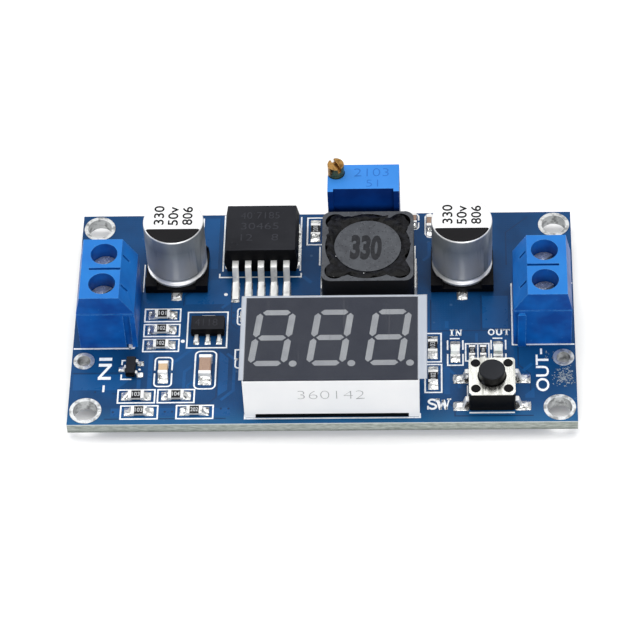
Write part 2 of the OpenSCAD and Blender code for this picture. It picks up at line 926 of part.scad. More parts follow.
module inductor_drum_core() {
    color("dimgray") at_seat(inductor_at) {
        translate([0, 0, shield_z]) cylinder(r = drum_flange_r, h = drum_flange_t);
        translate([0, 0, shield_z]) cylinder(r = drum_waist_r, h = inductor_top - shield_z);
        translate([0, 0, inductor_top - drum_flange_t])
            cylinder(r = drum_flange_r, h = drum_flange_t);
    }
}

module inductor_winding() {
    color("orangered") at_seat(inductor_at) translate([0, 0, shield_z + drum_flange_t])
        difference() {
            cylinder(r = drum_flange_r - winding_gap, h = inductor_top - shield_z - 2 * drum_flange_t);
            translate([0, 0, -cut]) cylinder(r = drum_waist_r, h = inductor_top);
        }
}

// A ring of adhesive round the top flange, run out into the four pockets
module inductor_adhesive() {
    color("black") at_seat(inductor_at)
        translate([0, 0, inductor_top - adhesive_drop - adhesive_t])
            linear_extrude(adhesive_t) difference() {
                shield_hollow_plan();
                circle(drum_flange_r);
            }
}

// ---- Trimmer -------------------------------------------------------------

module at_trimmer_screw() {
    translate([
        trimmer_at[0] - trimmer_w / 2 + trimmer_screw_from_end,
        trimmer_at[1] + trimmer_screw_y,
        board_t + trimmer_h
    ]) children();
}

module trimmer_pin_shapes() {
    at_trimmer_pins() translate([0, 0, -pin_tail])
        cylinder(r = trimmer_pin_r,
            h = pin_tail + board_t + trimmer_foot_h + trimmer_pin_embed);
}

module trimmer_housing() {
    color("cornflowerblue") difference() {
        translate([trimmer_at[0], trimmer_at[1], board_t]) difference() {
            slab([trimmer_w, trimmer_d, trimmer_h]);
            // The underside stands on a foot at each end
            translate([0, 0, -cut])
                slab([trimmer_w - 2 * trimmer_foot_w, trimmer_d + cut, trimmer_foot_h + cut]);
            translate([0, -trimmer_d / 2, trimmer_recess_z])
                slab([trimmer_w - 2 * trimmer_recess_margin, 2 * trimmer_recess_d, trimmer_h]);
        }
        at_trimmer_screw() translate([0, 0, -trimmer_screw_depth - trimmer_screw_clearance])
            cylinder(r = trimmer_screw_r + trimmer_screw_clearance, h = trimmer_screw_depth + cut);
        trimmer_pin_shapes();
    }
}

module trimmer_screw() {
    color("gold") at_trimmer_screw() difference() {
        translate([0, 0, -trimmer_screw_depth])
            cylinder(r = trimmer_screw_r, h = trimmer_screw_depth + trimmer_screw_rise);
        translate([0, 0, trimmer_screw_rise - trimmer_slot[1]])
            rotate(-60) slab([2 * trimmer_screw_r + cut, trimmer_slot[0], trimmer_slot[1] + cut]);
    }
}

module trimmer_pins() {
    color("gainsboro") trimmer_pin_shapes();
}

// ---- Display -------------------------------------------------------------

function slanted(points) = [for (p = points) [p[0] + p[1] * tan(digit_slant), p[1]]];

// A bar with pointed ends, along X or along Y
function bar(length, centre, upright) = [
    for (p = [
        [-length, 0], [bar_w - length, bar_w], [length - bar_w, bar_w],
        [length, 0], [length - bar_w, -bar_w], [bar_w - length, -bar_w]
    ]) centre + (upright ? [p[1], p[0]] : p) / 2
];

module digit_plan() {
    for (y = [-1, 0, 1]) polygon(slanted(bar(bar_h_len, [0, y * digit_h / 2], false)));
    for (x = [-1, 1], y = [-1, 1])
        polygon(slanted(bar(bar_v_len, [x * digit_w / 2, y * digit_h / 4], true)));
    translate(point_at) circle(point_r);
}

module digits_plan() {
    for (i = [-1:1]) translate([i * digit_pitch + digit_shift, 0.14]) digit_plan();
}

module at_display() {
    translate([display_at[0], display_at[1], board_t]) children();
}

module display_pin_shapes() {
    at_display_pins() translate([0, 0, -pin_tail])
        slab([display_pin[0], display_pin[1],
            pin_tail + board_t + resin_floor + display_pin_embed]);
}

// The cast resin fills the case and rises through each bar's light well
module resin_shape() {
    inner = [display_w - 2 * display_wall, display_d - 2 * display_wall];
    translate([0, 0, resin_floor])
        slab([inner[0], inner[1], display_h - face_t - top_wall - resin_floor]);
    translate([0, 0, resin_floor]) linear_extrude(display_h - resin_floor) digits_plan();
}

module display_housing() {
    color("whitesmoke") at_display() difference() {
        slab([display_w, display_d, display_h - face_t]);
        translate([0, 0, -cut])
            slab([display_w - 2 * display_wall, display_d - 2 * display_wall, resin_floor + cut]);
        resin_shape();
        // The rim is open between the corner feet on all four sides
        translate([0, 0, -cut]) {
            slab([display_w - 2 * foot_w, display_d + cut, display_foot_h + cut]);
            slab([display_w + cut, display_d - 2 * foot_w, display_foot_h + cut]);
        }
    }
}

module display_resin() {
    color("silver") difference() {
        at_display() resin_shape();
        display_pin_shapes();
    }
}

module display_face_mask() {
    color("darkslategray") at_display() translate([0, 0, display_h - face_t])
        linear_extrude(face_t) difference() {
            square([display_w - 2 * face_margin, display_d - 2 * face_margin], center = true);
            digits_plan();
        }
}

module display_pins() {
    color("gainsboro") display_pin_shapes();
}

// A loose sheet that hangs over the face by left, front, right and rear overhangs
module display_film() {
    color("gray", 0.5) at_display()
        translate([-display_w / 2 - film_over[0], -display_d / 2 + film_over[1], display_h])
            cube([display_w + film_over[0] + film_over[2],
                display_d - film_over[1] + film_over[3], film_t]);
}

module at_micro_leads() {
    for (turn = [0, 180], i = [0 : micro_leads_a_side - 1])
        at_seat(display_at) rotate(turn)
            translate([(i - (micro_leads_a_side - 1) / 2) * micro_pitch, 0, 0]) children();
}

module micro_lead_shapes() {
    at_micro_leads() rotate(-90)
        gull_wing(micro_size[1] / 2 - lead_embed, micro_size[1] / 2 + micro_lead_runs[0],
            micro_size[1] / 2 + micro_lead_runs[1], micro_size[1] / 2 + micro_lead_runs[2],
            micro_size[2] / 2 + package_lift, micro_lead_w, micro_lead_t);
}

module microcontroller_package() {
    color("dimgray") difference() {
        at_seat(display_at) translate([0, 0, package_lift]) moulding(micro_size, small_draft);
        micro_lead_shapes();
    }
}

module microcontroller_leads() {
    color("silver") micro_lead_shapes();
}

// ---- Push switch ---------------------------------------------------------

switch_base_h = switch_h - copper_t - cover_t;
cover_underside = switch_base_h;

module at_switch_posts() {
    for (x = [-1, 1], y = [-1, 1]) translate([x * post_at, y * post_at, 0]) children();
}

module switch_lead_shapes() {
    for (turn = [0, 180], y = [-1, 1])
        rotate(turn) translate([0, y * switch_lead_y, 0])
            gull_wing(switch_w / 2 - switch_lead_embed, switch_w / 2 + switch_lead_knee,
                switch_w / 2 + switch_lead_heel, switch_lead_toe, switch_lead_exit,
                switch_lead_w, switch_lead_t);
}

module switch_base() {
    color("black") at_seat(switch_at) difference() {
        union() {
            linear_extrude(switch_base_h) rounded_rect(switch_w, switch_w, cover_corner_r);
            at_switch_posts() cylinder(r = post_r, h = switch_base_h + cover_t + post_rise);
        }
        translate([0, 0, switch_well_z]) cylinder(r = switch_well_r, h = switch_base_h);
        switch_lead_shapes();
    }
}

module switch_cover() {
    color("silver") at_seat(switch_at) translate([0, 0, cover_underside])
        linear_extrude(cover_t) difference() {
            rounded_rect(switch_w, switch_w, cover_corner_r);
            circle(cover_hole_r);
            at_switch_posts() circle(post_r + post_clearance);
        }
}

// A spring washer, domed upwards, in the floor of the well
module switch_dome() {
    sphere_r = (dome_r * dome_r + dome_rise * dome_rise) / (2 * dome_rise);
    color("silver") at_seat(switch_at) translate([0, 0, switch_well_z]) rotate_extrude()
        intersection() {
            difference() {
                translate([0, dome_rise - sphere_r]) circle(sphere_r, $fn = 180);
                translate([0, dome_rise - sphere_r]) circle(sphere_r - dome_t, $fn = 180);
            }
            square([dome_r + cut, dome_rise + cut]);
        }
}

// Flange under the cover, round cap above it and a nub over the dome
module switch_button() {
    flange_top = cover_underside - button_gap;
    button_top = switch_base_h + cover_t + button_rise;
    nub_tip = switch_well_z + dome_rise + button_travel + button_gap;
    color("black") at_seat(switch_at) {
        translate([0, 0, nub_tip]) cylinder(r = button_nub_r, h = flange_top - nub_tip);
        translate([0, 0, flange_top - button_flange_t])
            cylinder(r = button_flange_r, h = button_flange_t);
        translate([0, 0, flange_top]) rotate_extrude() {
            square([button_r, button_top - flange_top - button_round]);
            square([button_r - button_round, button_top - flange_top]);
            intersection() {
                translate([button_r - button_round, button_top - flange_top - button_round])
                    circle(button_round);
                square([button_r + cut, button_top]);
            }
        }
    }
}

module switch_leads() {
    color("silver") at_seat(switch_at) switch_lead_shapes();
}

// ---- Chip parts ----------------------------------------------------------

// The ceramic block, full length, with its ends inside the caps
module chip_body(size) {
    translate([0, 0, cap_t])
        slab([size[0] - 2 * cap_t, size[1] - 2 * cap_t, size[2] - 2 * cap_t]);
}

module chip_caps(size) {
    difference() {
        slab([size[0], size[1], size[2]]);
        chip_body(size);
        translate([0, 0, -cut]) slab([size[0] - 2 * size[3], size[1] + cut, size[2] + 2 * cut]);
    }
}

module chip_resistors() {
    color("black") for (chip = resistor_chips) at_chips(chip[1]) chip_body(chip[0]);
}

module chip_capacitors() {
    color("tan") for (chip = capacitor_chips) at_chips(chip[1]) chip_body(chip[0]);
}

module chip_end_caps() {
    color("silver") for (chip = all_chips) at_chips(chip[1]) chip_caps(chip[0]);
}

module indicator_bases() {
    color("white") at_chips(indicator_sites) chip_body(indicator_size);
}

module indicator_lenses() {
    length = indicator_size[0] - 2 * indicator_size[3];
    lens_z = indicator_size[2] - cap_t;
    color("honeydew") at_chips(indicator_sites) translate([0, 0, lens_z])
        rotate([90, 0, 0]) linear_extrude(indicator_size[1] - 2 * cap_t, center = true)
            polygon([
                [-length / 2, 0], [length / 2, 0],
                [length / 2 - small_draft, lens_h], [small_draft - length / 2, lens_h]
            ]);
}

module small_regulator_lead_shapes() {
    at_seat(small_regulator_at) {
        for (i = [-1:1])
            translate([i * small_regulator_pitch, -small_regulator_toe, 0])
                translate([-small_lead_w / 2, 0, 0])
                    cube([small_lead_w, small_regulator_lead_len, 2 * small_lead_t]);
        translate([-small_regulator_tab[0] / 2, 0, 0])
            cube([small_regulator_tab[0], small_regulator_tab[1], 2 * small_lead_t]);
    }
}

module small_regulator_package() {
    color("dimgray") difference() {
        at_seat(small_regulator_at) moulding(small_regulator_size, small_draft);
        small_regulator_lead_shapes();
    }
}

module transistor_lead() {
    gull_wing(transistor_size[0] / 2 - lead_embed, transistor_size[0] / 2 + transistor_lead_runs[0],
        transistor_size[0] / 2 + transistor_lead_runs[1], transistor_toe,
        transistor_size[2] / 2 + package_lift, small_lead_w, small_lead_t);
}

module transistor_lead_shapes() {
    at_seat(transistor_at) {
        for (y = [-1, 1]) translate([0, y * transistor_pitch / 2, 0]) transistor_lead();
        rotate(180) transistor_lead();
    }
}

module transistor_package() {
    color("dimgray") difference() {
        at_seat(transistor_at) translate([0, 0, package_lift])
            moulding(transistor_size, small_draft);
        transistor_lead_shapes();
    }
}

// Each strap leaves the diode at mid height and folds under it
module diode_strap_shapes() {
    half = diode_size[0] / 2;
    middle = small_lead_t + diode_size[2] / 2;
    at_seat(diode_at) for (turn = [0, 180])
        rotate(turn) lead([
            [half - lead_embed, middle], [half + diode_strap_out, middle],
            [half + diode_strap_out, small_lead_t / 2],
            [half - diode_strap_under, small_lead_t / 2]
        ], diode_strap_w, small_lead_t);
}

module diode_package() {
    color("dimgray") difference() {
        at_seat(diode_at) translate([0, 0, small_lead_t]) moulding(diode_size, small_draft);
        diode_strap_shapes();
    }
}

module small_part_leads() {
    color("silver") {
        small_regulator_lead_shapes();
        transistor_lead_shapes();
        diode_strap_shapes();
    }
}

mounting_hole_plating();
wire_hole_plating();
circuit_board();
solder_lands();
solder_joints();
input_terminal_housing();
input_terminal_contacts();
input_plus_wire_guard();
input_plus_screw();
input_minus_wire_guard();
input_minus_screw();
output_terminal_housing();
output_terminal_contacts();
output_plus_wire_guard();
output_plus_screw();
output_minus_wire_guard();
output_minus_screw();
input_capacitor_base();
input_capacitor_can();
input_capacitor_leads();
output_capacitor_base();
output_capacitor_can();
output_capacitor_leads();
regulator_package();
regulator_tab();
regulator_leads();
inductor_base();
inductor_shield();
inductor_drum_core();
inductor_winding();
inductor_adhesive();
inductor_terminals();
trimmer_housing();
trimmer_screw();
trimmer_pins();
display_housing();
display_face_mask();
display_resin();
display_pins();
display_film();
microcontroller_package();
microcontroller_leads();
switch_base();
switch_cover();
switch_button();
switch_dome();
switch_leads();
chip_resistors();
chip_capacitors();
chip_end_caps();
small_regulator_package();
transistor_package();
diode_package();
small_part_leads();
indicator_bases();
indicator_lenses();
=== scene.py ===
"""Looks of the step-down converter module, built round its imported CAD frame.

The shape makers take millimetres in the CAD frame (origin in the middle of the board's
underside, +X to the output, +Z up), and piece() scales them to metres once.
"""

import json
import math

import bmesh
import bpy
import numpy as np
from mathutils import Matrix, Vector


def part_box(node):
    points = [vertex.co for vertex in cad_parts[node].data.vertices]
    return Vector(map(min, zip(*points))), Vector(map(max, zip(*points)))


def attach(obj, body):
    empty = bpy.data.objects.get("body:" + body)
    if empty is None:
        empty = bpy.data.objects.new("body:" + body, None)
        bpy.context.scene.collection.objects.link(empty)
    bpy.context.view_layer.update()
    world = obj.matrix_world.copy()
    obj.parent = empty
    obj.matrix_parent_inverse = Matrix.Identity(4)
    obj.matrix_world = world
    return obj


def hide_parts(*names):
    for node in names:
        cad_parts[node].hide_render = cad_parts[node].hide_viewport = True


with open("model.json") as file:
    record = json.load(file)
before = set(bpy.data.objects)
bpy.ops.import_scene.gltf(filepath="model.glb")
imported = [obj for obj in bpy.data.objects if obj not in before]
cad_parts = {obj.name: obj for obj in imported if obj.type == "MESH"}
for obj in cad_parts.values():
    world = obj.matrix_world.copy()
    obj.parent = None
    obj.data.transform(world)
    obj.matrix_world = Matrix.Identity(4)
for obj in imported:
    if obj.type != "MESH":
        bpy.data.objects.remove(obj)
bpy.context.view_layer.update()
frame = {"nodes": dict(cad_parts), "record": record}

MM = 0.001
BOARD_TOP = 1.6
# Top of the solder lands, where the small parts stand
SEAT = 1.66
nodes = frame["nodes"]
record = frame["record"]
body_of = {n: b for b, members in record["behaviour"]["bodies"].items() for n in members}
slot_of = {s["node"]: s["material_slot"] for s in record["subparts"]}
rng = np.random.default_rng(7)


def in_mm(box):
    """The lowest and highest corner of a box, from metres to millimetres."""
    return (np.array(corner) / MM for corner in box)


# ---- Materials: small makers ----


def tint(code):
    """Linear colour of an sRGB hex code."""
    parts = [int(code[i : i + 2], 16) / 255 for i in (1, 3, 5)]
    linear = [c / 12.92 if c <= 0.04045 else ((c + 0.055) / 1.055) ** 2.4 for c in parts]
    return (*linear, 1.0)


def wire(mat, node, inputs):
    """Sets a node's inputs; a value is a constant or another node's output."""
    for key, value in inputs.items():
        if isinstance(value, bpy.types.NodeSocket):
            mat.node_tree.links.new(value, node.inputs[key])
        else:
            node.inputs[key].default_value = value


def add(mat, kind, inputs=None, **props):
    """Adds a shader node to a material and sets it up."""
    node = mat.node_tree.nodes.new("ShaderNode" + kind)
    for key, value in props.items():
        setattr(node, key, value)
    wire(mat, node, inputs or {})
    return node


def new_material(name):
    """(material, its Principled shader)."""
    mat = bpy.data.materials.new(name)
    mat.use_nodes = True
    return mat, mat.node_tree.nodes["Principled BSDF"]


def place(mat, stretch=(1, 1, 1)):
    """Position in millimetres, times a stretch along each axis."""
    at = add(mat, "TexCoord").outputs["Object"]
    scale = [1000 * s for s in stretch]
    return add(mat, "VectorMath", {0: at, 1: scale}, operation="MULTIPLY").outputs[0]


def grain(mat, size, detail=3.0, stretch=(1, 1, 1)):
    """Noise from 0 to 1 with features about size mm across."""
    inputs = {"Vector": place(mat, stretch), "Scale": 1 / size, "Detail": detail, "Roughness": 0.55}
    return add(mat, "TexNoise", inputs).outputs["Fac"]


def specks(mat, size):
    """Distance from the nearest of scattered points about size mm apart."""
    return add(mat, "TexVoronoi", {"Vector": place(mat), "Scale": 1 / size}).outputs["Distance"]


def level(mat, value, low, high, to_low=0.0, to_high=1.0):
    """Maps low..high of a value to to_low..to_high, clamped."""
    inputs = {0: value, 1: low, 2: high, 3: to_low, 4: to_high}
    return add(mat, "MapRange", inputs).outputs[0]


def mix(mat, share, a, b):
    """Colour a where share is 0 and b where it is 1; each a hex code or an output."""
    a, b = (tint(c) if isinstance(c, str) else c for c in (a, b))
    node = add(mat, "Mix", data_type="RGBA")
    wire(mat, node, {0: share, 6: a, 7: b})
    return node.outputs[2]


def product(mat, a, b):
    """a times b."""
    return add(mat, "Math", {0: a, 1: b}, operation="MULTIPLY").outputs[0]


def larger(mat, a, b):
    """The larger of a and b."""
    return add(mat, "Math", {0: a, 1: b}, operation="MAXIMUM").outputs[0]


def bump(mat, height, depth):
    """Normal of a relief of depth mm."""
    return add(mat, "Bump", {"Height": height, "Distance": depth * MM, "Strength": 1.0}).outputs[0]


def axis(mat, name, vector=None):
    """One coordinate of the position in mm, or of another vector."""
    return add(mat, "SeparateXYZ", {0: vector or place(mat)}).outputs[name]


def normal_axis(mat, name):
    """How far a face looks along an axis, from 0 to 1."""
    value = axis(mat, name, add(mat, "NewGeometry").outputs["Normal"])
    return add(mat, "Math", {0: value}, operation="ABSOLUTE").outputs[0]


def edge_wear_and_highlight(mat, radius):
    """1 along edges within radius mm, broken up by grain, and 0 on open faces: the mask of paler
    edges, partly wear and partly a painted highlight.
    """
    bevel = add(mat, "Bevel", {"Radius": radius * MM}, samples=4)
    flat = add(mat, "NewGeometry").outputs["True Normal"]
    dot = add(mat, "VectorMath", {0: bevel.outputs[0], 1: flat}, operation="DOT_PRODUCT")
    bent = level(mat, dot.outputs["Value"], 0.99, 0.86)
    return product(mat, bent, level(mat, grain(mat, 0.5, 5), 0.35, 0.6))


def moulded(name, base, shade, rough, texture=0.25, depth=0.004, patch=6.0, sheen=0.2,
            side=None, worn=None):
    """(material, shader) of moulded plastic: two tones in soft patches of patch mm.

    side gives painted shade: darker tones for the faces that do not look up; worn gives a paler one
    for its edges, partly wear and partly a painted highlight, and for its scuffs;
    texture and depth are the size and relief in mm of its surface.
    """
    mat, shader = new_material(name)
    tone = mix(mat, level(mat, grain(mat, patch, 4), 0.35, 0.65), base, shade)
    if side:
        # Painted shade: faces that do not look up take darker tones, in soft patches
        cloud = level(mat, grain(mat, patch * 0.7, 3), 0.35, 0.65)
        painted_side_shade = mix(mat, cloud, side[0], side[-1])
        tone = mix(mat, level(mat, normal_axis(mat, "Z"), 0.25, 0.75), painted_side_shade, tone)
    if worn:
        # Paler edges, partly wear and partly a painted highlight; the specks below are scuffs
        tone = mix(mat, product(mat, edge_wear_and_highlight(mat, 0.16), 0.75), tone, worn)
        tone = mix(mat, level(mat, specks(mat, 1.1), 0.07, 0.04, 0, 0.5), tone, worn)
    wire(mat, shader, {
        "Base Color": tone,
        "Roughness": level(mat, grain(mat, patch / 3), 0.3, 0.7, rough - 0.05, rough + 0.07),
        "Specular IOR Level": sheen,
        "Normal": bump(mat, grain(mat, texture, 4), depth),
    })
    return mat, shader


def metal(name, base, shade, rough, stretch=(1, 1, 1), size=0.4, depth=0.003, marks=0.5,
          share=1.0):
    """(material, shader) of bare metal: a tarnished second tone and drawn or cast marks.

    share below 1 is a matt, finely pitted surface that scatters part of the light.
    """
    mat, shader = new_material(name)
    worn = level(mat, grain(mat, size * 3, 5, stretch), 1 - marks, 1.15 - marks)
    wire(mat, shader, {
        "Base Color": mix(mat, worn, base, shade),
        "Metallic": share,
        "Roughness": level(mat, grain(mat, size, 4, stretch), 0.3, 0.7, rough - 0.08, rough + 0.1),
        "Normal": bump(mat, grain(mat, size, 5, stretch), depth),
    })
    return mat, shader


# ---- Materials: the real finishes ----


def solder_mask():
    """Glossy blue solder mask on the faces, cut glass laminate on the edges."""
    mat, shader = new_material("solder_mask_blue")
    cloud = level(mat, grain(mat, 9, 3), 0.35, 0.68)
    mask = mix(mat, cloud, "#0c3a66", "#104a7f")
    # Painted highlight: the mask is painted paler along the front edge, where it catches the light
    front = level(mat, axis(mat, "Y"), -15, -18, 0, 0.4)
    mask = mix(mat, front, mask, "#2a73a3")
    dust = level(mat, specks(mat, 2.6), 0.1, 0.05, 0, 0.22)
    mask = mix(mat, dust, mask, "#6f8fae")
    # The cut edge: glass layers, dark at the bottom and pale under the mask
    layers = level(mat, grain(mat, 0.14, 3, (0.15, 0.15, 1)), 0.35, 0.7)
    cut = mix(mat, layers, "#8d958e", "#c3c9c3")
    cut = mix(mat, level(mat, axis(mat, "Z"), 0.5, 0.1, 0, 0.6), cut, "#5d635f")
    cut = mix(mat, level(mat, axis(mat, "Z"), 1.35, 1.55), cut, "#dfe4e2")
    on_face = level(mat, normal_axis(mat, "Z"), 0.5, 0.6)
    threads = {"Vector": place(mat), "Scale": 0.9, "Distortion": 0.6}
    weave = [add(mat, "TexWave", threads, bands_direction=d) for d in ("X", "Y")]
    cloth = product(mat, weave[0].outputs["Fac"], weave[1].outputs["Fac"])
    wire(mat, shader, {
        "Base Color": mix(mat, on_face, cut, mask),
        "Roughness": level(mat, on_face, 0, 1, 0.75, 0.3),
        "Specular IOR Level": 0.14,
        "Coat Weight": product(mat, on_face, 0.06),
        "Coat Roughness": 0.12,
        "Normal": bump(mat, cloth, 0.006),
    })
    return mat


def copper_under_mask():
    """Mask over a copper track or pour: a little paler and greener than over bare laminate."""
    mat, shader = moulded("solder_mask_on_copper", "#104a80", "#135088", 0.3, 0.5, 0.003, 5, 0.14)
    wire(mat, shader, {"Coat Weight": 0.06, "Coat Roughness": 0.12})
    return mat


def bare_gap():
    """Mask in the bare channel between two pours: darker."""
    return moulded("solder_mask_channel", "#0a2f55", "#0b335c", 0.35, 0.4, 0.003)[0]


def legend_ink():
    """White screen-printed ink, thin and slightly mottled."""
    mat, shader = new_material("white_legend_ink")
    thin = level(mat, grain(mat, 0.35, 4), 0.25, 0.5)
    wire(mat, shader, {
        "Base Color": mix(mat, thin, "#d3dbe4", "#f7f9fa"),
        "Roughness": 0.6,
        "Normal": bump(mat, grain(mat, 0.12, 3), 0.004),
    })
    return mat


def solder():
    """Tin solder: bright, lumpy, with dull frosted and flux-stained spots."""
    mat, shader = new_material("bright_solder")
    frost = level(mat, grain(mat, 0.35, 5), 0.42, 0.62)
    stain = level(mat, grain(mat, 0.8, 3), 0.6, 0.75, 0, 0.45)
    tone = mix(mat, stain, mix(mat, frost, "#f3f3ef", "#c9cbcc"), "#8b7a58")
    # Near-black patches scattered by noise: partly burnt flux, and partly painted dark reflections
    # in the shiny solder
    flux_and_dark_reflection = level(mat, grain(mat, 0.5, 4), 0.58, 0.66, 0, 0.85)
    tone = mix(mat, flux_and_dark_reflection, tone, "#2a241d")
    wire(mat, shader, {
        "Base Color": tone,
        "Metallic": 0.85,
        "Roughness": level(mat, frost, 0, 1, 0.14, 0.42),
        "Normal": bump(mat, grain(mat, 0.3, 4), 0.05),
    })
    return mat


def laminated_ceramic():
    """Sintered capacitor body: brown, with the faint layers of its plates."""
    mat, shader = new_material("sintered_ceramic_brown")
    # The small chips are a paler mix than the large one
    pale = level(mat, axis(mat, "X"), -18, -18.5)
    tone = mix(mat, pale, "#93705e", "#c9a981")
    fleck = level(mat, grain(mat, 0.12, 4), 0.3, 0.7, 0, 0.35)
    wire(mat, shader, {
        "Base Color": mix(mat, fleck, tone, "#e2cdb4"),
        "Roughness": 0.5,
        "Normal": bump(mat, grain(mat, 0.1, 3), 0.004),
    })
    return mat


def ferrite():
    """Ground ferrite: dark grey with light specks and dark pits, nearly black on its sides."""
    mat, shader = new_material("ground_ferrite")
    tone = mix(mat, level(mat, grain(mat, 1.6, 5), 0.3, 0.7), "#44464b", "#54575c")
    tone = mix(mat, level(mat, specks(mat, 0.42), 0.26, 0.14, 0, 0.7), tone, "#26272b")
    tone = mix(mat, level(mat, specks(mat, 0.33), 0.18, 0.08, 0, 0.5), tone, "#8b8d92")
    up = level(mat, normal_axis(mat, "Z"), 0.4, 0.8)
    wire(mat, shader, {
        "Base Color": mix(mat, up, "#0b0b0e", tone),
        "Roughness": 0.58,
        "Specular IOR Level": 0.15,
        "Normal": bump(mat, grain(mat, 0.2, 5), 0.02),
    })
    return mat


def adhesive():
    """Black glue: glossy lumps with dull skin between."""
    mat, shader = new_material("black_adhesive")
    skin = level(mat, grain(mat, 0.8, 4), 0.4, 0.6)
    # Painted shade: faces that look to the front turn near black
    front_facing_shade = level(mat, axis(mat, "Y", add(mat, "NewGeometry").outputs["Normal"]), -0.16, 0.04)
    tone = mix(mat, front_facing_shade, "#010102", mix(mat, skin, "#0a0a0d", "#1b1c21"))
    # Painted glints: scattered near-white spots
    tone = mix(mat, level(mat, specks(mat, 1.7), 0.07, 0.05), tone, "#d9dadd")
    wire(mat, shader, {
        "Base Color": tone,
        "Roughness": level(mat, skin, 0, 1, 0.06, 0.3),
        "Specular IOR Level": 0.12,
        "Normal": bump(mat, grain(mat, 0.7, 4), 0.12),
    })
    return mat


def film():
    """Loose clear film: light grey and less clear where it hangs over, with painted reflections in
    light streaks along it.
    """
    mat, shader = new_material("loose_clear_film")
    low, high = in_mm(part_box("display_face_mask"))
    x, y = axis(mat, "X"), axis(mat, "Y")
    over = [
        level(mat, x, low[0] + 0.15, low[0]),
        level(mat, x, high[0] - 0.1, high[0] + 0.05),
        level(mat, y, high[1] - 0.1, high[1]),
    ]
    edge = larger(mat, larger(mat, over[0], over[1]), over[2])
    # Painted reflections: faint light streaks, long from front to back, where the film's wrinkles
    # catch the light
    streak_reflection = level(mat, grain(mat, 0.5, 3, (1, 0.04, 1)), 0.62, 0.75, 0, 0.06)
    streaks_and_overhang = add(mat, "Math", {0: streak_reflection, 1: level(mat, edge, 0, 1, 0.015, 0.7)}).outputs[0]
    wire(mat, shader, {
        "Base Color": mix(mat, edge, "#8c8e94", "#c2c8d2"),
        "Roughness": 0.28,
        "Alpha": streaks_and_overhang,
        "Normal": bump(mat, grain(mat, 3, 3), 0.05),
    })
    return mat


def can_aluminium():
    """Drawn aluminium can: satin grey wall with fine drawn rings, and a painted highlight, near
    white, on the faces tilted from upright, such as the crimp.
    """
    mat, shader = new_material("drawn_aluminium")
    cloud = level(mat, grain(mat, 1.8, 4, (1, 1, 0.3)), 0.3, 0.7)
    wall = mix(mat, cloud, "#7f858b", "#969ca1")
    # Painted highlight: faces tilted from upright, such as the crimp and the shoulder, turn near
    # white
    tilted_face_highlight = level(mat, normal_axis(mat, "Z"), 0.12, 0.5)
    rings = (1, 1, 5)
    wire(mat, shader, {
        "Base Color": mix(mat, tilted_face_highlight, wall, "#f0f1f2"),
        "Metallic": 0.6,
        "Roughness": level(mat, grain(mat, 0.5, 4, rings), 0.3, 0.7, 0.32, 0.5),
        "Normal": bump(mat, grain(mat, 0.5, 5, rings), 0.002),
    })
    return mat


def resin():
    """Clouded resin of an unlit bar."""
    mat, shader = moulded("clouded_display_resin", "#94979b", "#898c91", 0.4, 0.3, 0.004, 2.2)
    wire(mat, shader, {"Subsurface Weight": 0.15, "Subsurface Radius": (MM, MM, MM)})
    return mat


def indicator_lens():
    """Milky epoxy lens with a faint green cast near its chip."""
    mat, shader = moulded("milky_epoxy_lens", "#fbfcfa", "#e9f3ec", 0.2, 0.3, 0.004, 0.6, 0.5)
    wire(mat, shader, {"Subsurface Weight": 0.3, "Subsurface Radius": (MM, MM, MM)})
    return mat


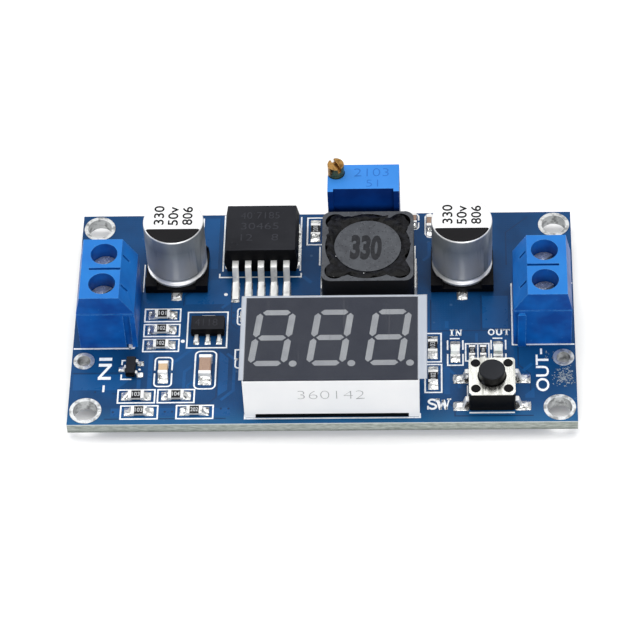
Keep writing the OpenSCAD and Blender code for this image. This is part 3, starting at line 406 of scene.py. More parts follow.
# The finish of each material slot, and that of the plated holes, which have no slot of their own
FINISHES = {
    "solder_mask": solder_mask(),
    # Tinned copper, dulled by handling
    "tinned_copper": metal("tinned_copper", "#efefed", "#cfd0cf", 0.42, size=0.35, depth=0.01,
                           marks=0.45, share=0.55)[0],
    # Levelled tin on the rings and walls of the plated holes, scuffed dull
    "hole_plating": metal("levelled_tin", "#d3d5d5", "#8c8e8e", 0.34, size=0.3, depth=0.03,
                          marks=0.52, share=0.85)[0],
    "solder": solder(),
    # Moulded polyamide, satin; painted shade darkens its sides, and its edges are paler, partly
    # wear and partly a painted highlight
    "terminal_blue": moulded("moulded_blue_polyamide", "#1f7acb", "#1a6fc2", 0.4, 0.3, 0.006,
                             side=("#04408f", "#0860b6"), worn="#5c9bd8")[0],
    "brass_contact": metal("stamped_brass", "#c09a55", "#8d6d36", 0.3)[0],
    # Nickel-plated steel, bright
    "nickel_screw": metal("nickel_plated_steel", "#dfe2e3", "#7c8183", 0.22, size=0.5, depth=0.05,
                          share=0.7)[0],
    "can_aluminium": can_aluminium(),
    # Matt black phenolic of the can bases, with painted shade near black on its sides
    "black_moulding": moulded("matt_black_moulding", "#0b0b0e", "#111114", 0.42, 0.2, 0.008,
                              side=("#020203",), sheen=0.1)[0],
    # Moulded epoxy of the packages, grey on its edges, partly scuffs and partly a painted
    # highlight; painted shade darkens its sides
    "package_epoxy": moulded("charcoal_epoxy", "#1d1e23", "#25262b", 0.55, 0.12, 0.012, sheen=0.12,
                             side=("#020204",), worn="#3a3b41")[0],
    "ferrite": ferrite(),
    "winding_copper": metal("enamelled_copper", "#b8643a", "#8a4424", 0.25)[0],
    "adhesive": adhesive(),
    # Moulded blue case of the trimmer, satin, with painted shade on its sides
    "trimmer_blue": moulded("moulded_blue_case", "#3a88dc", "#3180d2", 0.4, 0.25, 0.008,
                            side=("#03286a", "#04347e"))[0],
    "brass_screw": metal("turned_brass", "#a9814a", "#5d4526", 0.3, (1, 1, 6), 0.4, 0.012)[0],
    # Moulded white case and the slate paint on its face
    "display_white": moulded("moulded_white_case", "#fafbfc", "#f4f6f8", 0.4, 0.3, 0.002)[0],
    "display_face": moulded("slate_face_paint", "#30333d", "#363942", 0.5, 0.15, 0.006, 6, 0.08)[0],
    "display_resin": resin(),
    "clear_film": film(),
    "switch_steel": metal("pressed_steel", "#e8e8e2", "#bdbdb6", 0.22, (1, 0.1, 1), 0.3, 0.003)[0],
    # Moulded black button, satin, paler on its rim, partly wear and partly a painted highlight;
    # painted shade darkens its sides
    "button_black": moulded("satin_black_button", "#1d1f24", "#24262b", 0.42, 0.2, 0.006,
                            sheen=0.15, side=("#030304",), worn="#3b3d42")[0],
    # Fired alumina, matt
    "resistor_body": moulded("alumina_ceramic", "#c4c5c5", "#a9abab", 0.5, 0.12, 0.004, 0.8)[0],
    "capacitor_body": laminated_ceramic(),
    "indicator_base": moulded("white_laminate", "#e6eae6", "#d5dad6", 0.45, 0.2)[0],
    "indicator_lens": indicator_lens(),
}
INK = legend_ink()
TRACK = copper_under_mask()
GAP = bare_gap()
# Baked black glaze over a resistor's track, and the pale value codes on it
GLAZE = moulded("black_resistor_glaze", "#141417", "#1b1b1f", 0.4, 0.15, 0.004, 0.8)[0]
MARK = moulded("pale_marking_ink", "#d8dadb", "#bcbfc1", 0.6, 0.08)[0]
# White lacquer on the cans' tops, and the black ink printed over it
CAN_WHITE = moulded("white_lacquer", "#f4f4f4", "#ececec", 0.45, 0.3, 0.003)[0]
CAN_BLACK = moulded("black_can_ink", "#0e0d10", "#141316", 0.4, 0.3, 0.004, sheen=0.12)[0]
# Faint laser marking on the black packages
LASER = moulded("laser_marking", "#3a3b41", "#303137", 0.6, 0.1, 0.004, 0.4, 0.1)[0]
# Dried soldering flux
FLUX = moulded("dried_flux", "#98a0a6", "#6d7a86", 0.8, 0.1, 0.02, 0.5)[0]
# Rough black ink on the drum core, and the trimmer's value moulded in its top
ROUGH_INK = moulded("rough_black_ink", "#202125", "#2a2b2f", 0.65, 0.15, 0.02, 0.4)[0]
BLUE_MARK = moulded("moulded_mark", "#2669b8", "#2a70c2", 0.5)[0]
# Grey ink-jet number on the display's case, and painted shade: near-black mask for the board in the
# shadow under the display
GREY_INK = moulded("grey_jet_ink", "#9b9c9e", "#b0b1b3", 0.6, 0.1, 0.002, 0.3)[0]
UNDER_DISPLAY_SHADE = moulded("painted_shade_under_display", "#02060c", "#03090f", 0.6)[0]


# ---- Geometry: small makers ----


def thing(name, data):
    """A new object in the scene."""
    obj = bpy.data.objects.new(name, data)
    bpy.context.scene.collection.objects.link(obj)
    return obj


def piece(name, parts, mat, body="module", replaces=(), smooth=None):
    """One object from (points in mm, faces) parts, on a body; smooth as in show()."""
    points, faces, start = [], [], 0
    for pts, polygons in parts:
        points.append(np.asarray(pts, float))
        faces += [tuple(i + start for i in polygon) for polygon in polygons]
        start += len(pts)
    mesh = bpy.data.meshes.new(name)
    mesh.from_pydata((np.vstack(points) * MM).tolist(), [], faces)
    mesh.update()
    return show(name, mesh, mat, body, replaces, smooth)


def show(name, mesh, mat, body, replaces, smooth):
    """Puts a finished mesh in the scene, shaded smooth where it turns less than smooth degrees."""
    obj = thing(name, mesh)
    mesh.materials.clear()
    mesh.materials.append(mat)
    if smooth:
        mesh.shade_smooth()
        mesh.set_sharp_from_angle(angle=math.radians(smooth))
    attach(obj, body)
    if replaces:
        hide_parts(*replaces)
    return obj


def softened(node, radius):
    """A CAD node's shape with its sharp edges rounded by radius mm, shown in its place."""
    weld, flat, sharp = 0.002 * MM, math.radians(1), math.radians(38)
    bm = bmesh.new()
    bm.from_mesh(nodes[node].data)
    bmesh.ops.remove_doubles(bm, verts=bm.verts, dist=weld)
    bmesh.ops.dissolve_limit(bm, angle_limit=flat, verts=bm.verts, edges=bm.edges,
                             delimit={"NORMAL"})
    mesh = bpy.data.meshes.new(node + "_soft")
    bm.to_mesh(mesh)
    bm.free()
    finish = FINISHES["hole_plating" if node.endswith("hole_plating") else slot_of[node]]
    obj = show(node + "_soft", mesh, finish, body_of[node], [node], 35)
    if radius:
        bevel = obj.modifiers.new("edges", "BEVEL")
        bevel.width = radius * MM
        bevel.segments = 2
        bevel.limit_method = "ANGLE"
        bevel.angle_limit = sharp
        bevel.harden_normals = True
        bevel.use_clamp_overlap = True


def prism(outline, z0, z1):
    """Upright prism on a counter-clockwise outline."""
    outline = np.asarray(outline, float)
    n = len(outline)
    pts = np.vstack([np.column_stack([outline, np.full(n, z)]) for z in (z0, z1)])
    sides = [(i, (i + 1) % n, (i + 1) % n + n, i + n) for i in range(n)]
    return pts, [tuple(range(n))[::-1], tuple(range(n, 2 * n)), *sides]


def ribbon(path, width, z0, z1, closed=False):
    """A flat strip of one width along a line, with mitred corners."""
    path = np.asarray(path, float)
    n = len(path)
    step = np.roll(path, -1, 0) - path
    if not closed:
        step[-1] = step[-2]
    step /= np.linalg.norm(step, axis=1)[:, None]
    before = np.roll(step, 1, 0)
    if not closed:
        before[0] = step[0]
    left = np.column_stack([-step[:, 1], step[:, 0]])
    mitre = left + np.column_stack([-before[:, 1], before[:, 0]])
    mitre /= np.maximum((mitre * left).sum(1), 0.5)[:, None]
    sides = [path + mitre * width / 2, path - mitre * width / 2]
    rings = [(sides[0], z1), (sides[1], z1), (sides[1], z0), (sides[0], z0)]
    pts = np.vstack([np.column_stack([p, np.full(n, z)]) for p, z in rings])
    faces = []
    for i in range(n if closed else n - 1):
        j = (i + 1) % n
        for a in range(4):
            b = (a + 1) % 4
            faces.append((a * n + i, b * n + i, b * n + j, a * n + j))
    if not closed:
        faces += [(0, 3 * n, 2 * n, n), (n - 1, 2 * n - 1, 3 * n - 1, 4 * n - 1)]
    return pts, faces


def arc(cx, cy, rx, ry, start, end, n=10):
    """Points on an ellipse from start to end degrees."""
    turn = np.radians(np.linspace(start, end, n))
    return np.column_stack([cx + rx * np.cos(turn), cy + ry * np.sin(turn)])


def disc(x, y, r, z0, z1, n=24):
    """Upright cylinder with n sides."""
    return prism(arc(x, y, r, r, 0, 360 - 360 / n, n), z0, z1)


def rounded(x0, x1, y0, y1, r, n=6):
    """Counter-clockwise outline of a box with round corners."""
    corners = [(x1 - r, y0 + r, -90), (x1 - r, y1 - r, 0), (x0 + r, y1 - r, 90),
               (x0 + r, y0 + r, 180)]
    return np.vstack([arc(x, y, r, r, a, a + 90, n) for x, y, a in corners])


def box_outline(x0, x1, y0, y1):
    """Counter-clockwise corners of a box."""
    return [(x0, y0), (x1, y0), (x1, y1), (x0, y1)]


def quads(index):
    """Four-sided faces between neighbours in a grid of point numbers."""
    corners = index[:-1, :-1], index[1:, :-1], index[1:, 1:], index[:-1, 1:]
    return np.column_stack([c.ravel() for c in corners]).tolist()


def lettering(text, span, height, at, turn, z0, z1, weight=0.0):
    """Flat letters as a closed solid, span wide and centred on a point.

    turn is in degrees, and weight makes the strokes thicker, or thinner below 0.
    """
    curve = bpy.data.curves.new("letters", "FONT")
    curve.body = text
    curve.extrude = 0.5
    curve.offset = weight
    curve.resolution_u = 4
    obj = thing("letters", curve)
    bpy.context.view_layer.update()
    mesh = obj.evaluated_get(bpy.context.evaluated_depsgraph_get()).to_mesh()
    pts = np.array([v.co[:] for v in mesh.vertices])
    faces = [tuple(p.vertices) for p in mesh.polygons]
    bpy.data.objects.remove(obj)
    low, high = pts.min(0), pts.max(0)
    pts = (pts - (low + high) / 2) * [span / (high[0] - low[0]), height / (high[1] - low[1]), 1]
    cos, sin = math.cos(math.radians(turn)), math.sin(math.radians(turn))
    flat = pts[:, :2] @ np.array([[cos, sin], [-sin, cos]]) + at
    z = np.where(pts[:, 2] > 0, z1, z0)
    return np.column_stack([flat, z]), faces


def island_points(node):
    """The corners in mm of each separate solid of a CAD node."""
    mesh = nodes[node].data
    co = np.empty(len(mesh.vertices) * 3, np.float32)
    mesh.vertices.foreach_get("co", co)
    keys, index = np.unique(np.round(co.reshape(-1, 3) / MM, 3), axis=0, return_inverse=True)
    index = index.ravel()
    ends = np.empty(len(mesh.edges) * 2, np.int32)
    mesh.edges.foreach_get("vertices", ends)
    a, b = index[ends[::2]], index[ends[1::2]]
    group = np.arange(len(keys))
    while True:
        low = np.minimum(group[a], group[b])
        new = group.copy()
        np.minimum.at(new, a, low)
        np.minimum.at(new, b, low)
        new = new[new]
        if (new == group).all():
            return [keys[group == g] for g in np.unique(group)]
        group = new


def islands(node):
    """(lowest, highest) corner in mm of each separate solid of a CAD node."""
    return [(points.min(0), points.max(0)) for points in island_points(node)]


# ---- The CAD pieces, with their edges rounded ----

# Kinds of piece by the radius in mm of their edges; the longest matching ending counts
EDGES = {
    0: "capacitor_can inductor_winding trimmer_pins display_pins microcontroller_leads "
       "switch_button switch_dome chip_end_caps solder_joints",
    0.02: "indicator_bases hole_plating",
    0.03: "chip_resistors small_part_leads",
    0.04: "microcontroller_package",
    0.05: "terminal_contacts wire_guard capacitor_leads small_regulator_package "
          "transistor_package",
    0.06: "regulator_package regulator_tab regulator_leads switch_leads chip_capacitors "
          "diode_package indicator_lenses",
    0.07: "trimmer_screw inductor_terminals",
    0.08: "inductor_drum_core switch_base",
    0.09: "_screw trimmer_housing",
    0.1: "display_housing switch_cover",
    0.12: "capacitor_base inductor_base",
    0.14: "terminal_housing",
    0.16: "inductor_shield",
}
RADIUS = {kind: radius for radius, kinds in EDGES.items() for kind in kinds.split()}


def dress_nodes():
    """Gives every CAD node its finish, and shows most with rounded edges."""
    for name, obj in nodes.items():
        obj.data.materials.clear()
        obj.data.materials.append(FINISHES[slot_of[name]])
        match = [kind for kind in RADIUS if name.endswith(kind)]
        if match:
            softened(name, RADIUS[max(match, key=len)])


# ---- Board: tracks, channels, vias and legend ----

# Tops of the printed layers, and the depth inside the board where they start
TRACK_TOP = BOARD_TOP + 0.009
LEGEND_TOP = BOARD_TOP + 0.02
SUNK = BOARD_TOP - 0.02
# Width of the legend's lines
LINE = 0.2


def board_tracks():
    """Tracks under the mask, where the board is open to view."""
    runs = [
        ([(-17.3, -5.5), (-19.7, -7.9)], 0.45),
        ([(-17.1, -8.3), (-18.1, -9.3), (-18.1, -14.6)], 0.4),
        ([(-17.0, -11.0), (-17.6, -11.6), (-17.6, -15.2)], 0.35),
        ([(-24, -10.6), (-24, -12.1)], 0.5),
        ([(-12.6, -6.3), (-11.6, -7.3), (-11.6, -12.5), (-13.2, -14.1)], 0.4),
        ([(-11.9, 3.2), (-13.6, 1.5)], 0.4),
        ([(15.9, -8.8), (17.8, -10.7), (17.8, -12.4)], 0.4),
        ([(16.2, -1.1), (16.2, -2.3)], 0.5),
        ([(20.1, -3.2), (20.1, -4.7)], 0.35),
        ([(26.1, -9.6), (27.3, -8.4)], 0.45),
        ([(-23.2, 2.4), (-24, 3.2), (-24, 6)], 0.5),
        ([(-2.9, 6.9), (-1.8, 5.8)], 0.5),
        ([(13.1, 9.5), (13.9, 10.3), (13.9, 12.8)], 0.4),
    ]
    return [ribbon(path, width, SUNK, TRACK_TOP) for path, width in runs]


def board_pours():
    """Copper pours under the mask, a little raised."""
    z = SUNK, TRACK_TOP - 0.002
    outlines = [
        box_outline(-27.4, -11.9, -16.75, -15.35),
        [(-32.6, -12.3), (-26.9, -12.3), (-24.9, -10.3), (-24.9, -9.7), (-32.6, -9.7)],
        [(-18.4, 2.2), (-12.5, 2.2), (-12.5, 6.4), (-15.2, 6.4), (-18.4, 3.4)],
        [(-22.9, -6.3), (-22.3, -6.3), (-22.3, -12.1), (-22.9, -12.1)],
        [(-13.6, -5.9), (-12.4, -7.1), (-12.4, -12.4), (-13.6, -13.4)],
        [(15.8, -9), (16.6, -9), (16.6, -13.4), (15.8, -13.4)],
        [(26.3, -13.6), (27.5, -12.4), (27.5, -14.1), (26.3, -14.1)],
        box_outline(20.9, 24.3, -2.3, 3.2),
        [(-16.3, 8.4), (-14.4, 8.4), (-14.4, 17.4), (-16.3, 17.4)],
    ]
    return [prism(outline, *z) for outline in outlines]


def board_channels():
    """Dark channels where the copper is cut away between two pours."""
    runs = [
        [(-32.8, -9.45), (-26.6, -9.45)],
        [(14.1, 2.6), (14.1, -2.75), (24.3, -2.75)],
        [(20.75, 3.4), (20.75, -2.6)],
        [(-24.7, -11.9), (-25.7, -12.9), (-27.4, -12.9)],
        [(-13.8, -4.9), (-13.8, -13.6), (-15, -14.8), (-21, -14.8)],
        [(-12.3, 6.4), (-12.3, -1.2), (-11.4, -2.1)],
        [(-18.7, 2.0), (-18.7, 3.6), (-16, 6.6), (-16, 17.2)],
        [(25.5, -5.6), (25.5, -8.6), (27, -10.1), (27, -13.4)],
        [(16.3, -14.8), (17.2, -15.7), (17.2, -17), (27.3, -17)],
        [(-28.2, -17.1), (-12.4, -17.1)],
        [(24.2, 8.6), (24.2, 14.4), (27.2, 17.2)],
        [(-2.7, 12.2), (-2.7, 17.6)],
    ]
    return [ribbon(run, 0.16, SUNK, BOARD_TOP + 0.004) for run in runs]


# Middles of the vias
VIAS = [
    (-27.1, -15.95), (-25.95, -15.95), (-20.35, -15.95), (-19.4, -15.95), (-13.1, -15.5),
    (-12.1, -15.5), (-12, 0.7), (-12, -0.3), (-29.6, -12.6), (16.9, -8.9), (24.9, -9.2),
]


def legend_boxes():
    """Outlines round the small parts: (x0, x1, y0, y1, corner radius)."""
    return [
        (-23.75, -19.05, -0.75, 1.4, 0), (-23.75, -19.05, -3.3, -1.25, 0),
        (-23.75, -19.05, -5.85, -3.8, 0), (-26.6, -21.8, -14.45, -12.3, 0),
        (-21.4, -16.65, -14.45, -12.3, 0), (-26.1, -21.3, -17.1, -14.95, 0),
        (-18.85, -14.1, -17.1, -14.95, 0), (13.3, 15.45, -8, -3.2, 0),
        (13.35, 15.5, -13.1, -8.45, 0), (-18, -12.75, -5.3, 0.8, 0),
        (-16.75, -14, -12.2, -5.9, 0.65), (-2.5, -0.35, 12.5, 17.3, 0),
        (18.65, 21.7, -7.9, -5, 0), (-11.55, -9.6, -7.25, -5.7, 0),
        (-11.5, -9.6, -8.75, -7.25, 0.4), (-11.45, -9.4, -1.4, 1.4, 0.4),
    ]


def legend_lines():
    """Open lines of the legend: (share of the usual width, lines as points) for each width."""
    small_cap = rounded(-22, -19.75, -11.75, -6.9, 0.5)
    rear_cap = rounded(10.1, 12.5, 15.1, 17.8, 0.5)
    usual = [
        # Regulator: sides and the bracket in front
        [(-13.7, 17.9), (-13.7, 7.9)],
        [(-3.35, 17.5), (-3.35, 7.9)],
        [(-14.1, 7.5), (-14.1, 6.85), (-3.2, 6.85), (-3.2, 7.5)],
        # Inductor: two lines a side
        *([(x, y), (x, y - 3.3)] for x in (-0.75, 12.0) for y in (12.1, 3)),
        # Small capacitor, in two halves
        [(-19.75, -9.05), *small_cap[6:18], (-22, -9.05)],
        [(-22, -9.55), *small_cap[18:], *small_cap[:6], (-19.75, -9.55)],
        # Transistor brackets
        [(-25.9, -7.35), (-26.35, -7.35), (-26.35, -8.1)],
        [(-26.35, -9.7), (-26.35, -10.5), (-25.0, -10.5)],
        # Rear chips beside the inductor
        [(12.5, 16.65), *rear_cap[6:12], (11.3, 17.8)],
        [(11.3, 15.1), *rear_cap[:6], (12.5, 16.3)],
        [(14.2, 17.9), (13.7, 17.75), (13.4, 17.3), (13.4, 14.2), (13.7, 13.7), (14.3, 13.6)],
        # Divider between the two small resistors, and the dash under the display
        [(20.25, -5), (20.25, -7.9)],
        [(-11.3, 0), (-10.4, 0)],
        # Indicators: two sides, a tray in front and a bar behind
        *([(x, -6), (x, -4.4)] for x in (16.3, 18.3, 22, 23.9)),
        *([(x0, -6.7), (x0, -8.6), (x1, -8.6), (x1, -6.7)]
          for x0, x1 in ((16.3, 18.3), (22, 23.9))),
        *([(x, -4.1), (x + 1.3, -4.1)] for x in (16.6, 22.2)),
        # Display
        [(-9.95, -16.5), (-9.95, -17.2), (12.7, -17.2), (12.7, -16.5)],
        # Switch, in front
        [(19.05, -16.5), (24.9, -16.5)],
        # Screw terminals
        [(-32.9, 5.25), (-25.0, 5.25)],
        [(24.8, 5.3), (24.8, -5.2), (25.5, -5.25)],
        [(26.6, -5.2), (32.9, -5.2)],
        [(24.8, 5.3), (32.9, 5.3)],
        # Beside the input capacitor
        [(-16.6, 17.4), (-16.6, 15.9), (-17.4, 15.1)],
    ]
    switch_sides = [[(x, -12), (x, -14.4)] for x in (18.85, 24.95)]
    return [
        (1, usual),
        (0.8, switch_sides),
        # In front of the input terminal, and left of the input capacitor
        (1.1, [[(-32.9, -5.3), (-25.3, -5.3)]]),
        (0.7, [[(-24.2, 9.2), (-24.2, 4.4)]]),
    ]


def slab_letters(text, height, at, pitch):
    """Upright letters with slab serifs, as a printed legend has them, centred on a point.

    Each letter is a list of (line width, points) in a box 0.8 wide and 1 high.
    """
    heavy, fine = 0.23, 0.12

    def serif(x0, x1, y=0.96):
        return fine, [(x0, y), (x1, y)]

    strokes = {
        "I": [(heavy, [(0.4, 0), (0.4, 1)]), serif(0.16, 0.64), serif(0.16, 0.64, 0.04)],
        "N": [(0.13, [(0.14, 0), (0.14, 1)]), (0.13, [(0.72, 0), (0.72, 1)]),
              (heavy, [(0.1, 1), (0.72, 0)]), serif(-0.02, 0.22),
              serif(-0.02, 0.3, 0.04), serif(0.58, 0.88)],
        "O": [(0.19, arc(0.4, 0.5, 0.35, 0.44, 0, 355, 20))],
        "U": [(heavy, [(0.12, 1), *arc(0.42, 0.36, 0.3, 0.3, 180, 360, 9), (0.72, 1)]),
              serif(-0.04, 0.3), serif(0.56, 0.86)],
        "T": [(heavy, [(0.4, 0), (0.4, 1)]), (0.1, [(0.02, 0.95), (0.78, 0.95)]),
              serif(0.2, 0.6, 0.04), (fine, [(0.04, 1), (0.04, 0.74)]),
              (fine, [(0.76, 1), (0.76, 0.74)])],
        "S": [(0.17, [*arc(0.4, 0.74, 0.26, 0.2, 25, 270, 9),
                      *arc(0.4, 0.28, 0.28, 0.22, 90, -155, 9)]),
              (fine, [(0.7, 1), (0.7, 0.68)]), (fine, [(0.08, 0), (0.08, 0.34)])],
        "W": [(heavy, [(0, 1), (0.24, 0)]), (0.1, [(0.24, 0), (0.44, 0.9)]),
              (heavy, [(0.44, 0.9), (0.66, 0)]), (0.1, [(0.66, 0), (0.88, 1)]),
              serif(-0.12, 0.16), serif(0.72, 1.02)],
    }
    parts = []
    start = at[0] - (len(text) - 1) * pitch / 2 - 0.4 * height
    for i, letter in enumerate(text):
        for width, points in strokes[letter]:
            line = np.asarray(points, float) * height + [start + i * pitch, at[1] - height / 2]
            parts.append(ribbon(line, width * height, SUNK, LEGEND_TOP + 0.001 * i))
    return parts


def board_legend():
    """The whole printed legend as thin strips of ink."""
    z = SUNK, LEGEND_TOP
    parts = []
    for x0, x1, y0, y1, r in legend_boxes():
        outline = rounded(x0, x1, y0, y1, r) if r else box_outline(x0, x1, y0, y1)
        parts.append(ribbon(outline, LINE, *z, closed=True))
    for share, lines in legend_lines():
        parts += [ribbon(points, LINE * share, *z) for points in lines]
    # Printed dots beside the regulator, the resistors and the transistor
    dots = [(-13.15, 3.85, 0.25), (-18.55, -4.15, 0.27), (-24, -8.9, 0.17)]
    parts += [disc(x, y, r, *z) for x, y, r in dots]
    # The terminal's line ends in a blot where the stencil ran
    blot = [(-25.6, -5.45), (-24.85, -5.35), (-24.75, -4.95), (-25.3, -4.6), (-25.5, -4.1),
            (-25.65, -4.2)]
    parts.append(prism(blot, *z))
    parts += slab_letters("IN", 1.0, (17.3, -3.1), 0.86)
    parts += slab_letters("OUT", 1.0, (23.05, -3.05), 1.0)
    parts += slab_letters("SW", 1.75, (14.95, -15.05), 1.35)
    parts.append(lettering("IN", 3.7, 1.7, (-28.55, -8.7), -90, *z, 0.012))
    parts.append(lettering("OUT", 6.1, 1.7, (28.6, -10), 90, *z, 0.012))
    # The minus signs after IN and OUT
    for x, y0, y1 in ((-28.55, -11.5, -12.6), (28.5, -5.9, -6.85)):
        parts.append(ribbon([(x, y0), (x, y1)], 0.27, *z))
    return parts


def flux_specks():
    """Dried flux: ragged flat flecks strewn round the reworked spot by the right wire hole."""
    parts, foot = [], BOARD_TOP - 0.01
    for _ in range(190):
        x, y = rng.normal(31.4, 0.72), rng.normal(-10.6, 0.85)
        if not (29.6 < x < 32.8 and -12.6 < y < -8.7):
            continue
        n = int(rng.integers(5, 9))
        radius = rng.uniform(0.04, 0.14) * rng.uniform(0.5, 1.4, n)
        turn = np.sort(rng.uniform(0, 2 * math.pi, n))
        outline = np.column_stack([x + radius * np.cos(turn), y + radius * np.sin(turn)])
        parts.append(prism(outline, foot, BOARD_TOP + rng.uniform(0.006, 0.018)))
    for x, y in rng.uniform([28.9, -7.9], [30.1, -6.2], (14, 2)):
        parts.append(disc(x, y, rng.uniform(0.04, 0.1), foot, BOARD_TOP + 0.01, 7))
    return parts


# ---- Solder ----


def feet():
    """Box of the part near the board of each thing that is soldered to a land."""
    boxes = []
    for name in ("chip_end_caps", "regulator_leads", "switch_leads", "small_part_leads",
                 "inductor_terminals", "input_capacitor_leads", "output_capacitor_leads"):
        # An end cap stands whole in its solder, and a lead with its foot only
        limit = SEAT + (1.3 if name == "chip_end_caps" else 0.32)
        for points in island_points(name):
            low = points[points[:, 2] < limit]
            if len(low):
                boxes.append((low.min(0), low.max(0)))
    return boxes


def solder_pool(low, high, standing, n=26):
    """Solder on one land, as a height field over a rounded box.

    z = rim^0.5 (0.07 + waves) + sum over feet of min(0.8 h, 0.55) exp(-d / 0.3) rim^0.3
    (1 + 2.5 waves) in mm, where rim = (1 - u^4)(1 - v^4) with u and v from -1 to 1 over the
    land, d is the distance outside a foot, h the foot's height, and waves four random sines.
    """
    centre, half = (low + high)[:2] / 2, (high - low)[:2] / 2
    u, v = np.meshgrid(np.linspace(-1, 1, n), np.linspace(-1, 1, n), indexing="ij")
    x = centre[0] + half[0] * u * np.sqrt(1 - 0.1 * v**2)
    y = centre[1] + half[1] * v * np.sqrt(1 - 0.1 * u**2)
    rim = (1 - u**4) * (1 - v**4)
    spans = ((0.01, 0.035), (-6, 6), (-6, 6), (0, 6))
    sines = zip(*(rng.uniform(least, most, 4) for least, most in spans))
    waves = sum(a * np.sin(x * fx + y * fy + p) for a, fx, fy, p in sines)
    z = np.sqrt(rim) * (0.07 + waves)
    for box_low, box_high in standing:
        gap_x = np.maximum(np.maximum(box_low[0] - x, x - box_high[0]), 0)
        gap_y = np.maximum(np.maximum(box_low[1] - y, y - box_high[1]), 0)
        d = np.hypot(gap_x, gap_y)
        rise = min(0.8 * (box_high[2] - SEAT), 0.55)
        z += rise * np.exp(-d / 0.3) * rim**0.3 * (1 + 2.5 * waves)
    top = np.column_stack([x.ravel(), y.ravel(), SEAT + np.maximum(z, 0).ravel()])
    index = np.arange(n * n).reshape(n, n)
    faces = quads(index)
    # A skirt down into the board closes the solid
    ring = np.concatenate([index[:-1, 0], index[-1, :-1], index[:0:-1, -1], index[0, :0:-1]])
    foot = top[ring].copy()
    foot[:, 2] = BOARD_TOP - 0.01
    m, base = len(ring), n * n
    faces += [(ring[i], base + i, base + (i + 1) % m, ring[(i + 1) % m]) for i in range(m)]
    faces.append(tuple(base + i for i in reversed(range(m))))
    return np.vstack([top, foot]), faces


def solder_pools():
    """Solder on every land."""
    standing = feet()
    parts = []
    for low, high in islands("solder_lands"):
        if high[0] - low[0] > 8:
            # The regulator's land is dry under its package; solder shows behind and beside it
            low = low + [0, 1.2, 0]
        near = [
            (a, b) for a, b in standing
            if (a[:2] < high[:2] + 0.1).all() and (b[:2] > low[:2] - 0.1).all()
        ]
        # The microcontroller's lands are narrow and lie under the display
        hidden = high[0] - low[0] < 0.5
        parts.append(solder_pool(low, high, near, 8 if hidden else 26))
    return parts


# ---- Printed and moulded marks ----


def can_print(side):
    """White lacquer, black pole mark and rating on a can, drawn down over its round shoulder.

    Both sheets follow r = R - 0.35 + 0.362 sin a, z = top - 0.35 + 0.362 cos a, with a from 60
    (white) or 42 degrees (black) down to 0; a chord 1.65 mm off the middle parts them.
    """
    low, high = in_mm(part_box(side + "_capacitor_can"))
    x, y = (low + high)[:2] / 2
    top, r = high[2], (high[0] - low[0]) / 2
    chord, shoulder = -1.65, 0.35
    sheet = shoulder + 0.012
    start = math.degrees(math.asin(chord / r))
    sheets = []
    for first, last, steep, n in ((start, 180 - start, 60, 60), (180 - start, 360 + start, 42, 40)):
        turn = np.radians(np.linspace(first, last, n))
        rings = [(r - shoulder + sheet * math.sin(a), top - shoulder + sheet * math.cos(a))
                 for a in np.radians(np.linspace(steep, 0, 7))]
        pts = [(x + q * math.cos(t), y + q * math.sin(t), z) for q, z in rings for t in turn]
        index = np.arange(len(pts)).reshape(-1, n)
        sheets.append((pts, quads(index.T) + [index[-1].tolist()]))
    black = [sheets[1]]
    rows = ("330", -1.88, 0.9, 3.3), ("50v", 0.0, 0.75, 3.3), ("806", 1.88, 0.75, 3.2)
    for text, dx, dy, span in rows:
        black.append(lettering(text, span, 1.36, (x + dx, y + dy), 90, top, top + 0.022, 0.014))
    piece(side + "_can_lacquer", [sheets[0]], CAN_WHITE, smooth=30)
    piece(side + "_can_marking", black, CAN_BLACK, smooth=30)


def chip_marks():
    """Black glaze and value codes of the chip resistors."""
    glaze, marks = [], []
    codes = "103 103 102 102 101 104 202 201 103 102 512 104 103 103".split()
    for (low, high), code in zip(islands("chip_resistors"), codes):
        size, centre = high - low, (low + high) / 2
        along = 0 if size[0] > size[1] else 1
        # The large and the small chips: length left bare at each end, size of the code
        bare, span, height = (0.36, 1.0, 0.66) if max(size) > 1.8 else (0.27, 0.66, 0.44)
        inner = size[:2] / 2
        inner[along] -= bare
        outline = box_outline(centre[0] - inner[0], centre[0] + inner[0],
                              centre[1] - inner[1], centre[1] + inner[1])
        glaze.append(prism(outline, high[2] - 0.05, high[2] + 0.035))
        z = high[2], high[2] + 0.042
        marks.append(lettering(code, span, height, centre[:2], 90 * along, *z, 0.01))
    piece("resistor_glaze", glaze, GLAZE)
    piece("resistor_codes", marks, MARK)


def package_marks():
    """Faint laser-marked numbers on the regulator and the small regulator."""
    parts = []
    for node, rows in (
        ("regulator_package", [("40 7185", 5.2, 2.2), ("30465", 5.0, 0.3), ("12    8", 5.0, -1.7)]),
        ("small_regulator_package", [("4118", 3.0, 0.0)]),
    ):
        low, high = in_mm(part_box(node))
        x, y = (low + high)[:2] / 2
        z = high[2] - 0.03, high[2] + 0.005
        for text, span, dy in rows:
            parts.append(lettering(text, span, 1.15, (x - 0.2, y + dy), 0, *z, -0.01))
    piece("package_numbers", parts, LASER)


def trimmer_marks():
    """Faint moulded value on the trimmer's top."""
    low, high = in_mm(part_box("trimmer_housing"))
    y = (low[1] + high[1]) / 2
    z = high[2] - 0.02, high[2] + 0.02
    parts = [lettering("2103", 4.6, 1.4, (high[0] - 3.7, y + 1.0), 0, *z, -0.02)]
    parts.append(lettering("51", 1.6, 1.2, (high[0] - 3.6, y - 0.95), 0, *z, -0.02))
    piece("trimmer_value", parts, BLUE_MARK)


# ---- Inductor ----


